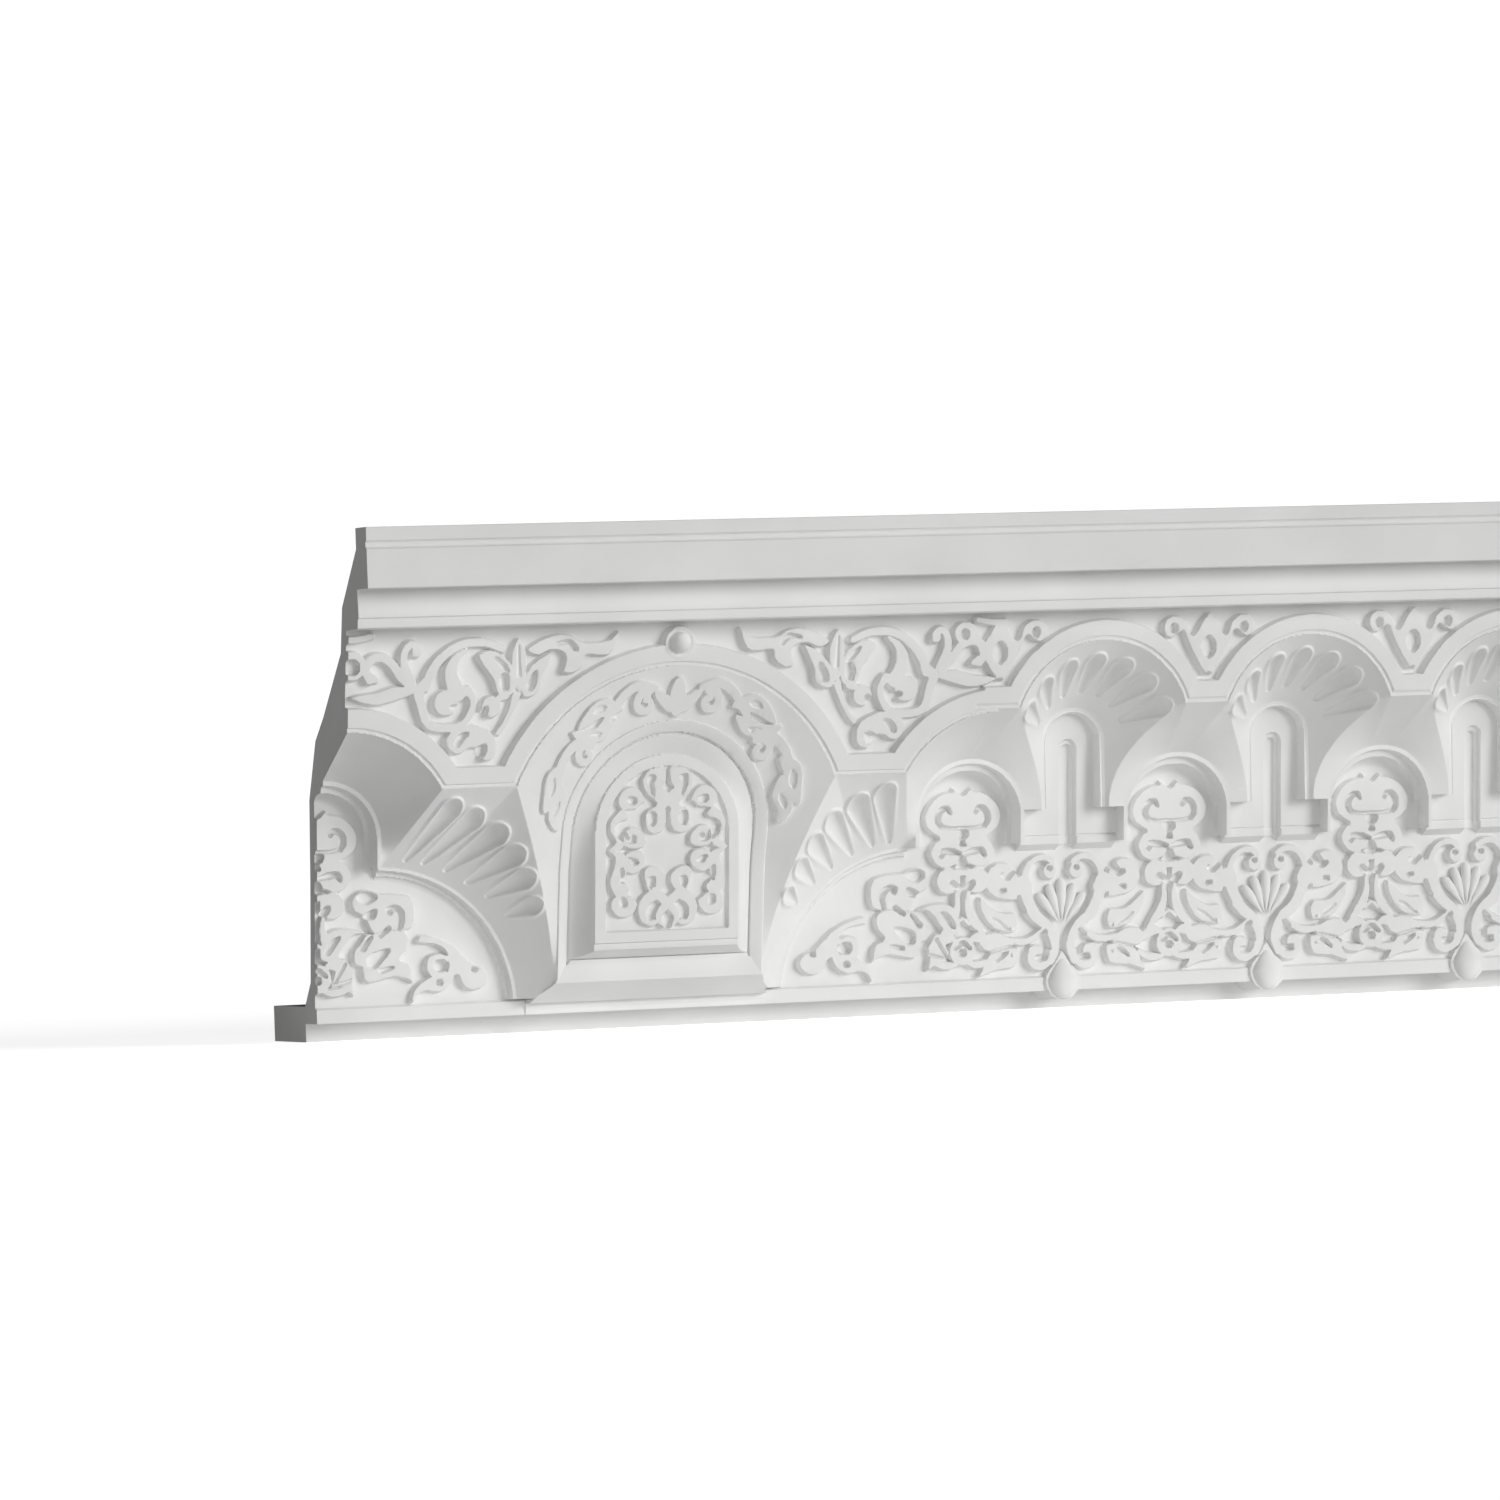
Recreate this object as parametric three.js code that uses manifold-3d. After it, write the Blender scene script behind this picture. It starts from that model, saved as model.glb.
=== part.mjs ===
// A cast cornice moulding with an arcade of niches, shell fans and scroll reliefs.
// Millimetres. X runs along the wall, the moulding projects towards -Y, +Z is up.
// The origin is the middle of the foot's back face, where the moulding meets the wall.
import * as THREE from "three";
import { mergeVertices } from "three/addons/utils/BufferGeometryUtils.js";
import Module from "manifold-3d";

const wasm = await Module();
wasm.setup();

// Length: whole bays, cut square through the middle of a lower niche at each end.
const bay = 129.5;
const baysBeforeArcade = 3;
const arcadeBays = 3;
const length = bay * (baysBeforeArcade + arcadeBays);

// Heights of the horizontal members, from the foot up.
const footHeight = 10.3;
const bandHeight = 7.6;
const bandChamfer = 1.3;
const lowerFriezeHeight = 71.3;
const sillChamfer = 3.5;
const sillFillet = 4;
const plateHeight = 16;
const pierHeight = 58;
const upperFriezeHeight = 53;
const roundHeight = 6.2;
const secondFasciaHeight = 15.5;
const firstFasciaHeight = 21.4;
const coveHeight = 4.5;
const topFilletHeight = 7.4;

const bandFoot = footHeight;
const bandTop = bandFoot + bandHeight;
const friezeFoot = bandTop + bandChamfer;
const friezeTop = friezeFoot + lowerFriezeHeight;
const sillFoot = friezeTop + sillChamfer;
const plateFoot = sillFoot + sillFillet;
const pierFoot = plateFoot + plateHeight;
const linkZ = pierFoot + pierHeight;
const upperTop = linkZ + upperFriezeHeight;
const roundTop = upperTop + roundHeight;
const secondTop = roundTop + secondFasciaHeight;
const firstTop = secondTop + firstFasciaHeight;
const coveTop = firstTop + coveHeight;
const height = coveTop + topFilletHeight;

// Depths, measured out from the wall.
const projection = 177;
const coveDepth = 2.2;
const fasciaStep = 17;
const roundStep = 4.5;
const secondFasciaDepth = projection - fasciaStep;
const roundDepth = secondFasciaDepth - roundStep;
const footDepth = 52;
const footBackHeight = 19.8;
const bandDepth = 71;
const lowerGroundDepth = 68.5;
const lowerSlope = 0.09;
const plateRise = 5;
const ribbonDepth = 137;
const ribbonSlope = 0.15;
const reliefHeight = 5;
const clearOfFront = projection + 30;

// Arches of the ribbon.
const smallArchRadius = 54.6;
const smallArchDrop = 18.1;
const smallRibbon = 11.4;
const linkHeight = 12;
const linkHalf = 13.25;
const quarterArchRadius = 64.5;
const quarterArchDrop = 66.5;
const quarterRibbon = 13;
const bigArchRadius = 102.8;
const bigArchDrop = 73.8;
const bigRibbon = 12;
const bigLinkDrop = 34.5;
const bigLinkHeight = 11.5;
const bigCentre = bay * baysBeforeArcade * 0.5;

// Lower niches, between the piers.
const lowerRadius = 34;
const lowerSpringDrop = 4;
const outerFillet = 3.4;
const innerFillet = 3.8;
const tympanumCove = 5;
const lowerRimDepth = 91.5;
const lowerRimLean = 0.09;
const pierHalfGap = 43.75;
const pierEdgeDepth = 93.3;

// Upper niches, with their arched frame, slot and shell.
const frameRadius = 19.5;
const frameWidth = 3.5;
const frameSpringDrop = 20.5;
const frameDepth = 91;
const frameLean = 0.04;
const slotHalf = 5;
const slotStep = 1.7;
const slotDepth = 3;
const fluteCount = 5;
const fluteSpread = 100;
const fluteHalf = 5.6;
const fluteDepth = 5;

// Big niche, with its panel.
const flangeRadius = 61.5;
const flangeSpringDrop = 62.5;
const flangeFootDepth = 94;
const flangeMidDepth = 104;
const flangeCrownDepth = 129;
const flangeWidth = 6.5;
const flangeDip = 2.5;
const panelFrameOuter = 43;
const panelSeat = 12;
const panelFrameInner = 36.3;
const panelDepth = 112.4;
const panelSlope = 0.103;
const panelMidZ = 90;
const panelFoot = 45;
const panelFieldFoot = 55;
const fieldSink = 2.2;
const baseTop = 40;
const baseFoot = 27.5;
const baseHalf = 62.5;
const baseDepth = 95;
const baseFlareFoot = 16.5;
const baseFlareHalf = 72;
const baseFlareDepth = 77;

// Shell fans beside the big niche.
const fanCentreX = 33;
const fanCentreZ = 12;
const fanRadius = 83.5;
const fanFillet = 4.2;
const fanRimRise = 7;
const fanStep = 2.4;
const fanLobes = 6;
const lobeDepth = 3.2;

// The boss at the big arch's crown and the drops under the lower frieze.
const bossRise = 41.5;
const bossRadius = 5.6;
const bossRing = 9.5;
const dropZ = 15.5;
const dropHalf = 8.8;
const dropBorder = 11.4;

// The back, undercut to a shell that is screwed and glued at foot and top.
const wallThickness = 7;
const topBackDepth = secondFasciaDepth;

const arrisSteps = 5;
const arrisLead = 2.5;
const overlap = 0.5;
const reach = 5;

/** The lower frieze's ground: its distance from the wall at a height. */
const lowerGround = (z) => lowerGroundDepth + lowerSlope * (z - friezeFoot);
/** The ribbon's face. */
const ribbonFace = (z) => ribbonDepth + ribbonSlope * (z - linkZ);
/** The rim of a lower niche, where its vault begins. */
const rimDepth = (z) => lowerRimDepth + lowerRimLean * (z - pierFoot);
/** The back of the ribbon's plates, inside the body all the way up. */
const ribbonBack = (z) => lowerGround(bigLinkZ) + 0.69 * (z - bigLinkZ);
/** The panel's face. */
const panelFace = (z) => panelDepth + panelSlope * (z - panelMidZ);

const bigSpring = height - flangeSpringDrop - (height - linkZ);
const lowerSpring = pierFoot - lowerSpringDrop;
const frameSpring = linkZ - frameSpringDrop;
const smallArchZ = linkZ - smallArchDrop;
const quarterArchZ = linkZ - quarterArchDrop;
const bigArchZ = linkZ - bigArchDrop;
const bigLinkZ = linkZ - bigLinkDrop;

const lowerNiches = Array.from({ length: arcadeBays + 1 }, (_, i) => bay * (baysBeforeArcade + i));
const upperNiches = Array.from({ length: arcadeBays }, (_, i) => bay * (baysBeforeArcade + i + 0.5));

/** Turns a closed geometry into a solid for joining and cutting. */
function solid(geometry) {
  const bare = geometry.clone();
  bare.deleteAttribute("normal");
  bare.deleteAttribute("uv");
  const merged = mergeVertices(bare, 1e-4);
  const vertProperties = new Float32Array(merged.attributes.position.array);
  const triVerts = new Uint32Array(merged.index.array);
  let made = new wasm.Manifold(new wasm.Mesh({ numProp: 3, vertProperties, triVerts }));
  if (made.volume() < 0) {
    for (let i = 0; i < triVerts.length; i += 3) {
      [triVerts[i + 1], triVerts[i + 2]] = [triVerts[i + 2], triVerts[i + 1]];
    }
    made = new wasm.Manifold(new wasm.Mesh({ numProp: 3, vertProperties, triVerts }));
  }
  return made;
}

/** Gives a solid's surface back as a geometry. */
function geometryOf(made) {
  const mesh = made.getMesh();
  const geometry = new THREE.BufferGeometry();
  geometry.setAttribute("position", new THREE.BufferAttribute(new Float32Array(mesh.vertProperties), 3));
  geometry.setIndex(new THREE.BufferAttribute(new Uint32Array(mesh.triVerts), 1));
  return geometry;
}

/** Joins solids into one. */
const join = (solids) => solids.reduce((sum, next) => sum.add(next));

/** Moves every vertex of a geometry: place(x, y, z) gives its new [x, y, z]. */
function warp(geometry, place) {
  const spots = geometry.attributes.position;
  for (let i = 0; i < spots.count; i += 1) {
    spots.setXYZ(i, ...place(spots.getX(i), spots.getY(i), spots.getZ(i)));
  }
  return geometry;
}

/** A straight member: an outline of [depth, z] points, run from one x to another. */
function run(outline, from, to) {
  const shape = new THREE.Shape(outline.map(([depth, z]) => new THREE.Vector2(depth, z)));
  const bar = new THREE.ExtrudeGeometry(shape, { depth: to - from, bevelEnabled: false });
  return solid(warp(bar, (depth, z, along) => [from + along, -depth, z]));
}

/** A plate seen from the front: an outline of Vector2, from a back depth to a front depth. */
function plate(outline, back, front) {
  const slab = new THREE.ExtrudeGeometry(new THREE.Shape(outline), { depth: 1, bevelEnabled: false });
  return solid(
    warp(slab, (x, z, t) => [x, -(t > 0 ? front(z) : back(z)), z]),
  );
}

/** A solid through closed loops of [x, depth, z], from the back one to the front one. */
function loft(loops) {
  const count = loops[0].length;
  const spots = loops.flat().flatMap(([x, depth, z]) => [x, -depth, z]);
  const faces = [];
  for (let i = 0; i + 1 < loops.length; i += 1) {
    for (let j = 0; j < count; j += 1) {
      const [a, b] = [i * count + j, i * count + ((j + 1) % count)];
      faces.push(a, b, b + count, a, b + count, a + count);
    }
  }
  const last = (loops.length - 1) * count;
  const flat = (loop) => loop.map(([x, , z]) => new THREE.Vector2(x, z));
  THREE.ShapeUtils.triangulateShape(flat(loops[0]), []).forEach(([a, b, c]) => faces.push(a, c, b));
  THREE.ShapeUtils.triangulateShape(flat(loops.at(-1)), []).forEach(([a, b, c]) =>
    faces.push(last + a, last + b, last + c),
  );
  const geometry = new THREE.BufferGeometry();
  geometry.setAttribute("position", new THREE.Float32BufferAttribute(spots, 3));
  geometry.setIndex(faces);
  return solid(geometry);
}

/** A cutter in front of a twisted strip, given by its two long edges of [x, depth, z]. */
function stripCutter(inner, outer) {
  const sections = inner.map(([x, depth, z], i) => {
    const [ox, od, oz] = outer[i];
    return [x, -depth, z, ox, -od, oz, ox, -clearOfFront, oz, x, -clearOfFront, z];
  });
  const faces = [0, 2, 1, 0, 3, 2];
  for (let i = 0; i + 1 < sections.length; i += 1) {
    for (let j = 0; j < 4; j += 1) {
      const [a, b] = [i * 4 + j, i * 4 + ((j + 1) % 4)];
      faces.push(a, b, b + 4, a, b + 4, a + 4);
    }
  }
  const last = (sections.length - 1) * 4;
  faces.push(last, last + 1, last + 2, last, last + 2, last + 3);
  const geometry = new THREE.BufferGeometry();
  geometry.setAttribute("position", new THREE.Float32BufferAttribute(sections.flat(), 3));
  geometry.setIndex(faces);
  return solid(geometry);
}

/** Points of an arc, from one angle to another, in degrees from straight up. */
function arc(cx, cz, radius, from, to, steps) {
  return Array.from({ length: steps + 1 }, (_, i) => {
    const angle = THREE.MathUtils.degToRad(from + ((to - from) * i) / steps);
    return new THREE.Vector2(cx + radius * Math.sin(angle), cz + radius * Math.cos(angle));
  });
}

/** A round-headed outline: half width, foot height and springing height about x. */
function archway(cx, half, foot, spring, steps) {
  return [new THREE.Vector2(cx - half, foot), new THREE.Vector2(cx + half, foot)].concat(
    arc(cx, spring, half, 90, -90, steps),
  );
}

/** A rectangle outline. */
function rectangle(left, right, low, high) {
  return [
    new THREE.Vector2(left, low),
    new THREE.Vector2(right, low),
    new THREE.Vector2(right, high),
    new THREE.Vector2(left, high),
  ];
}

/** Mirrors a loop of [x, depth, z] about x and keeps its sense. */
const mirrored = (loop, x) => loop.map(([px, depth, z]) => [2 * x - px, depth, z]).reverse();

/** The front of the whole section, from the ceiling down to the foot. */
function frontOutline() {
  const pier = pierArris()
    .getPoints(arrisSteps)
    .map((p, i) => [-p.y + (i > 0 ? arrisLead : 0), p.z]);
  return [
    [projection, height],
    [projection, coveTop],
    [projection - coveDepth, coveTop - coveHeight * 0.5],
    [projection, firstTop],
    [projection, secondTop],
    [secondFasciaDepth, secondTop],
    [secondFasciaDepth, roundTop],
    [roundDepth + roundStep * 0.7, roundTop - roundHeight * 0.6],
    [roundDepth, upperTop],
    [ribbonFace(upperTop) - reliefHeight, upperTop],
    [ribbonFace(linkZ) - reliefHeight, linkZ],
    ...pier,
    [lowerGround(pierFoot) + plateRise, pierFoot],
    [lowerGround(plateFoot) + plateRise, plateFoot],
    [lowerGround(plateFoot) + plateRise + 0.8, plateFoot - 0.8],
    [lowerGround(sillFoot) + plateRise + 0.8, sillFoot],
    [lowerGround(friezeTop), friezeTop],
    [lowerGround(friezeFoot), friezeFoot],
    [bandDepth, bandTop],
    [bandDepth, bandFoot],
    [footDepth, bandFoot],
    [footDepth, 0],
  ];
}

/** The back of the section, from the foot up to the ceiling. */
function backOutline() {
  return [
    [0, 0],
    [0, footBackHeight],
    [footDepth, footBackHeight],
    [lowerGround(friezeFoot) - wallThickness, friezeFoot + 14],
    [lowerGround(friezeTop) - wallThickness, friezeTop],
    [lowerGround(lowerSpring) - wallThickness, lowerSpring + lowerRadius * 0.7],
    [ribbonDepth - reliefHeight - 34, linkZ + 5],
    [ribbonDepth - wallThickness, upperTop - 12],
    [roundDepth - 3 * wallThickness, secondTop - 9],
    [topBackDepth, coveTop - 4],
    [topBackDepth, height],
  ];
}

/** The sharp edge between a lower and an upper niche, out from the lower niche's middle. */
function pierArris() {
  const at = (x, depth, z) => new THREE.Vector3(x, -depth, z);
  const drop = pierHeight;
  return new THREE.CubicBezierCurve3(
    at(linkHalf, ribbonDepth, linkZ),
    at(linkHalf + 12.75, ribbonDepth - 27.8, linkZ - 0.22 * drop),
    at(pierHalfGap, pierEdgeDepth + 0.2, linkZ - 0.57 * drop),
    at(pierHalfGap, pierEdgeDepth, pierFoot),
  );
}

/** The sharp edge between the big niche and a fan, out from the big niche's middle. */
function fanArris() {
  const at = (x, depth, z) => new THREE.Vector3(x, -depth, z);
  const top = Math.sqrt(bigArchRadius ** 2 - (bigLinkZ - bigArchZ) ** 2);
  return new THREE.QuadraticBezierCurve3(
    at(top, ribbonFace(bigLinkZ), bigLinkZ),
    at(flangeRadius, 98.6, 60),
    at(flangeRadius + 0.6, 89.5, bandTop + overlap),
  );
}

/** The loops of a niche: straight rulings between an inner and an outer edge, run past the outer. */
function ruledLoops(inner, outer) {
  const beyond = outer.map(([x, depth, z], i) => {
    const from = new THREE.Vector3(...inner[i]);
    const to = new THREE.Vector3(x, depth, z);
    return to.clone().add(to.clone().sub(from).setLength(reach)).toArray();
  });
  return [inner, outer, beyond, beyond.map(([x, , z]) => [x, clearOfFront, z])];
}

/** Half of a lower niche's vault, from its middle to the pier on its right. */
function pierVault(cx) {
  const edge = pierArris().getPoints(arrisSteps);
  const outer = edge.map((p) => [cx + p.x, -p.y, p.z]).reverse();
  const inner = outer.map(([x, , z]) => {
    const angle = Math.atan2(x - cx, z - lowerSpring);
    return [cx + lowerRadius * Math.sin(angle), lowerSpring + lowerRadius * Math.cos(angle)];
  });
  inner[0] = [cx + lowerRadius, pierFoot];
  const rim = inner.map(([x, z]) => [x, rimDepth(z), z]);
  const crown = [cx - overlap, rimDepth(lowerSpring + lowerRadius), lowerSpring + lowerRadius];
  const foot = [cx - overlap, lowerRimDepth, pierFoot];
  const outerCrown = [cx - overlap, ribbonDepth, linkZ];
  const outerFoot = [cx - overlap, pierEdgeDepth, pierFoot];
  const loops = ruledLoops([foot, ...rim, crown], [outerFoot, ...outer, outerCrown]);
  return loft(level(loops, pierFoot));
}

/** Keeps a cutter's foot flat at a height. */
const level = (loops, foot) =>
  loops.map((loop) => loop.map(([x, depth, z]) => [x, depth, Math.max(z, foot)]));

/** Half of a lower niche's vault, from its middle to the fan on its right. */
function quarterVault(cx) {
  const spring = Math.acos((bigLinkZ - quarterArchZ) / quarterArchRadius);
  const steps = 6;
  const top = arc(cx, quarterArchZ, quarterArchRadius, 0, THREE.MathUtils.radToDeg(spring), steps);
  const outer = top.map((p) => [p.x, ribbonFace(p.y), p.y]);
  const inner = outer.map(([x, , z]) => {
    const angle = Math.atan2(x - cx, z - lowerSpring);
    return [
      cx + lowerRadius * Math.sin(angle),
      rimDepth(lowerSpring + lowerRadius * Math.cos(angle)),
      lowerSpring + lowerRadius * Math.cos(angle),
    ];
  });
  const fanStart = fanRim(0);
  outer.push([cx + fanStart.x + 1, fanStart.y + 2, fanStart.z]);
  inner.push([cx + lowerRadius, fanStart.y, fanStart.z]);
  outer.unshift([cx - overlap, outer[0][1], outer[0][2]]);
  inner.unshift([cx - overlap, inner[0][1], inner[0][2]]);
  outer.push([cx - overlap, fanStart.y + 2, fanStart.z]);
  inner.push([cx - overlap, fanStart.y, fanStart.z]);
  return loft(ruledLoops(inner.reverse(), outer.reverse()));
}

/** A point of the fan's lower rim, at a share of its way from the niche to the foot. */
function fanRim(share) {
  const angle = THREE.MathUtils.degToRad(88 - 86 * share);
  const z = fanCentreZ + fanRadius * Math.sin(angle);
  return new THREE.Vector3(fanCentreX + fanRadius * Math.cos(angle), lowerGround(z) + fanRimRise, z);
}

/** A point of the fan's upper edge: along the link, then down the big niche's edge. */
function fanEdge(share) {
  const turn = 0.24;
  const arris = fanArris();
  const linkStart = Math.sqrt(quarterArchRadius ** 2 - (bigLinkZ - quarterArchZ) ** 2);
  const linkEnd = bigCentre - arris.v0.x;
  if (share <= turn) {
    const x = THREE.MathUtils.lerp(linkStart, linkEnd, share / turn);
    return new THREE.Vector3(x, ribbonFace(bigLinkZ), bigLinkZ);
  }
  const p = arris.getPoint((share - turn) / (1 - turn));
  return new THREE.Vector3(bigCentre - p.x, -p.y, p.z);
}

/** The fan's hollow face, between the lower niche at the left end and the big niche. */
function fanCut() {
  const steps = 9;
  const shares = Array.from({ length: steps + 1 }, (_, i) => (i - 0.5) / (steps - 0.5));
  const rim = shares.map((s) => fanRim(s));
  const edge = shares.map((s) => fanEdge(s));
  const row = (points, others, t) =>
    points.map((p, i) => [
      p.x + (others[i].x - p.x) * t,
      p.y + (others[i].y - p.y) * t,
      p.z + (others[i].z - p.z) * t,
    ]);
  return stripCutter(row(rim, edge, -0.02), row(rim, edge, 1.12));
}

/** The cutter of one upper niche's shell vault. */
function shellVault(cx) {
  const edge = pierArris()
    .getPoints(arrisSteps)
    .reverse()
    .map((p) => [cx + bay / 2 - p.x, -p.y, p.z]);
  const spring = THREE.MathUtils.radToDeg(Math.acos(smallArchDrop / smallArchRadius));
  const crown = arc(cx, smallArchZ, smallArchRadius, spring, 0, 5).map((p) => [
    p.x,
    ribbonFace(p.y),
    p.y,
  ]);
  const outer = edge.concat(crown.slice(1));
  const bend = edge.length - 3;
  const inner = outer.map(([, , z], i) => {
    const t = (i - bend) / (outer.length - 1 - bend);
    if (t <= 0) {
      const low = THREE.MathUtils.lerp(pierFoot, frameSpring, i / bend);
      return [cx + frameRadius, frameDepth + frameLean * (low - pierFoot), low];
    }
    const angle = ((1 - t) * Math.PI) / 2;
    const high = frameSpring + frameRadius * Math.cos(angle);
    return [cx + frameRadius * Math.sin(angle), frameDepth + frameLean * (high - pierFoot), high];
  });
  const whole = (half) => half.concat(mirrored(half.slice(0, -1), cx));
  const loops = ruledLoops(whole(inner), whole(outer));
  return loft(level(loops, pierFoot));
}

/** The shell vault's face at an angle from straight up and a share of the way out. */
function shellPoint(cx, angle, share) {
  const sine = Math.sin(angle);
  const cosine = Math.cos(angle);
  const inner = new THREE.Vector3(
    cx + frameRadius * sine,
    -(frameDepth + frameLean * (frameSpring + frameRadius * cosine - pierFoot)),
    frameSpring + frameRadius * cosine,
  );
  const z = smallArchZ + smallArchRadius * cosine;
  return inner.lerp(new THREE.Vector3(cx + smallArchRadius * sine, -ribbonFace(z), z), share);
}

/** A round-ended hollow between two points of a face, wider at its outer end. */
function hollow(from, to, half, depth) {
  const ball = new THREE.SphereGeometry(1, 6, 3);
  const axis = to.clone().sub(from);
  const reachHalf = axis.length() / 2;
  axis.normalize();
  const side = new THREE.Vector3(0, 1, 0).cross(axis).normalize();
  const normal = axis.clone().cross(side).normalize();
  const middle = from.clone().add(to).multiplyScalar(0.5);
  const widen = 0.35;
  warp(ball, (u, v, w) => [u * half * (1 + widen * v), v * reachHalf, w * depth]);
  const frame = new THREE.Matrix4().makeBasis(side, axis, normal).setPosition(middle);
  return solid(ball.applyMatrix4(frame));
}

/** The flutes of one upper niche's shell. */
function shellFlutes(cx) {
  return Array.from({ length: fluteCount }, (_, i) => {
    const angle = THREE.MathUtils.degToRad(fluteSpread * (i / (fluteCount - 1) - 0.5));
    const inner = shellPoint(cx, angle, 0.14);
    const outer = shellPoint(cx, angle, 0.8);
    return hollow(inner, outer, fluteHalf, fluteDepth);
  });
}

/** The lobes of the fan at the left of the big niche. */
function fanHollows() {
  return Array.from({ length: fanLobes }, (_, i) => {
    const share = 0.1 + i * 0.105;
    const rim = fanRim(share);
    const edge = fanEdge(share);
    const at = (t) =>
      new THREE.Vector3(
        rim.x + (edge.x - rim.x) * t,
        -(rim.y + (edge.y - rim.y) * t),
        rim.z + (edge.z - rim.z) * t,
      );
    return hollow(at(0.12), at(0.86), 6.2 - 0.45 * i, lobeDepth);
  });
}

/** The tympanum of a lower niche: ground, cove and inner fillet, open down into the frieze. */
function tympanumCut(cx) {
  const steps = 6;
  const rise = (z) => Math.max(0, z - lowerSpring) * 0.24;
  const loop = (radius, depth) =>
    archway(cx, radius, friezeTop - sillChamfer, lowerSpring, steps).map((p) => [p.x, depth(p.y), p.y]);
  const inside = lowerRadius - outerFillet - innerFillet;
  return loft([
    loop(inside - tympanumCove, (z) => lowerGround(z)),
    loop(inside, (z) => lowerGround(z) + 3 + rise(z)),
    loop(inside + innerFillet, (z) => lowerGround(z) + 3.8 + rise(z)),
    loop(inside + innerFillet + 0.3, () => clearOfFront),
  ]);
}

/** The frame, panel and slot of an upper niche. */
function upperFrame(cx) {
  const face = (z) => frameDepth + frameLean * (z - pierFoot);
  const back = (z) => lowerGround(z) - 2;
  return plate(archway(cx, frameRadius, pierFoot, frameSpring, 10), back, face);
}

/** What is taken out of an upper niche's frame. */
function upperFrameCut(cx) {
  const panel = (z) => lowerGround(z) + plateRise;
  const out = () => clearOfFront;
  const slotTop = frameSpring - slotHalf + 5;
  return [
    plate(archway(cx, frameRadius - frameWidth, pierFoot - overlap, frameSpring, 8), panel, out),
    plate(archway(cx, slotHalf, friezeTop, slotTop - 3.5, 4), (z) => panel(z) - slotDepth, out),
    plate(
      archway(cx, slotHalf - slotStep, friezeTop, slotTop - 5, 4),
      (z) => panel(z) - 2 * slotDepth,
      out,
    ),
  ];
}

/** The flange's outer edge depth round the big niche. */
function flangeFace(z) {
  const crown = bigSpring + flangeRadius;
  if (z < panelMidZ) {
    return THREE.MathUtils.mapLinear(z, baseFoot, panelMidZ, flangeFootDepth, flangeMidDepth);
  }
  return THREE.MathUtils.mapLinear(z, panelMidZ, crown, flangeMidDepth, flangeCrownDepth);
}

/** The big niche's vault and flange. */
function bigVault() {
  const sideSteps = 4;
  const arcSteps = 10;
  const arris = fanArris();
  const side = Array.from({ length: sideSteps + 1 }, (_, i) => arris.getPoint(1 - i / sideSteps));
  const spring = Math.asin(arris.v0.x / bigArchRadius);
  const crown = arc(0, bigArchZ, bigArchRadius, THREE.MathUtils.radToDeg(spring), 0, arcSteps);
  const outer = side
    .map((p) => [p.x, -p.y, p.z])
    .concat(crown.slice(1).map((p) => [p.x, ribbonFace(p.y), p.y]));
  const ring = (radius, dip) =>
    outer.map((_, i) => {
      if (i <= sideSteps) {
        const z = THREE.MathUtils.lerp(side[0].z, bigSpring, i / sideSteps);
        return [radius, flangeFace(z) - dip, z];
      }
      const angle = (Math.PI / 2) * (1 - (i - sideSteps) / arcSteps);
      const z = bigSpring + radius * Math.cos(angle);
      return [radius * Math.sin(angle), flangeFace(z) - dip, z];
    });
  const whole = (half) =>
    half
      .concat(mirrored(half.slice(0, -1), 0))
      .map(([x, depth, z]) => [x + bigCentre, depth, z]);
  const hole = whole(ring(flangeRadius - flangeWidth - overlap, panelSeat));
  const floor = whole(ring(flangeRadius - flangeWidth, flangeDip));
  return loft([hole, floor, ...ruledLoops(whole(ring(flangeRadius, 0)), whole(outer))]);
}

/** The panel in the big niche, with its moulded frame and sunk field. */
function bigPanel() {
  const steps = 12;
  const seat = flangeRadius - flangeWidth;
  const loop = (half, foot, depth) =>
    archway(bigCentre, half, foot, bigSpring, steps).map((p) => [p.x, depth(p.y), p.y]);
  const body = loft([
    loop(seat, baseTop - overlap, (z) => flangeFace(z) - panelSeat - 6),
    loop(seat, baseTop - overlap, (z) => flangeFace(z) - flangeDip),
    loop(panelFrameOuter + 3, panelFoot, (z) => panelFace(z) - 4),
    loop(panelFrameOuter, panelFoot + 3.5, (z) => panelFace(z)),
  ]);
  const field = plate(
    archway(bigCentre, panelFrameInner, panelFieldFoot, bigSpring, steps),
    (z) => panelFace(z) - fieldSink,
    () => clearOfFront,
  );
  return body.subtract(field);
}

/** The plain base under the panel, with its flared foot. */
function bigBase() {
  const back = lowerGround(friezeFoot) - 1;
  const loop = (half, depth, low, high) =>
    rectangle(bigCentre - half, bigCentre + half, low, high).map((p) => [p.x, depth, p.y]);
  const block = plate(
    rectangle(bigCentre - baseHalf, bigCentre + baseHalf, baseFoot, baseTop),
    () => back,
    () => baseDepth,
  );
  const flare = loft([
    loop(baseFlareHalf, back, baseFlareFoot, baseFoot + overlap),
    loop(baseFlareHalf, baseFlareDepth, baseFlareFoot, baseFoot + overlap),
    loop(baseHalf, baseDepth, baseFoot, baseFoot + overlap),
  ]);
  const fillets = [3, 6].map((drop, i) =>
    plate(
      rectangle(
        bigCentre - baseFlareHalf - 1.5 * i,
        bigCentre + baseFlareHalf + 1.5 * i,
        baseFlareFoot - drop,
        baseFlareFoot,
      ),
      () => back,
      () => baseFlareDepth - 1.6 * (i + 1),
    ),
  );
  return join([block, flare, ...fillets]);
}

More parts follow.
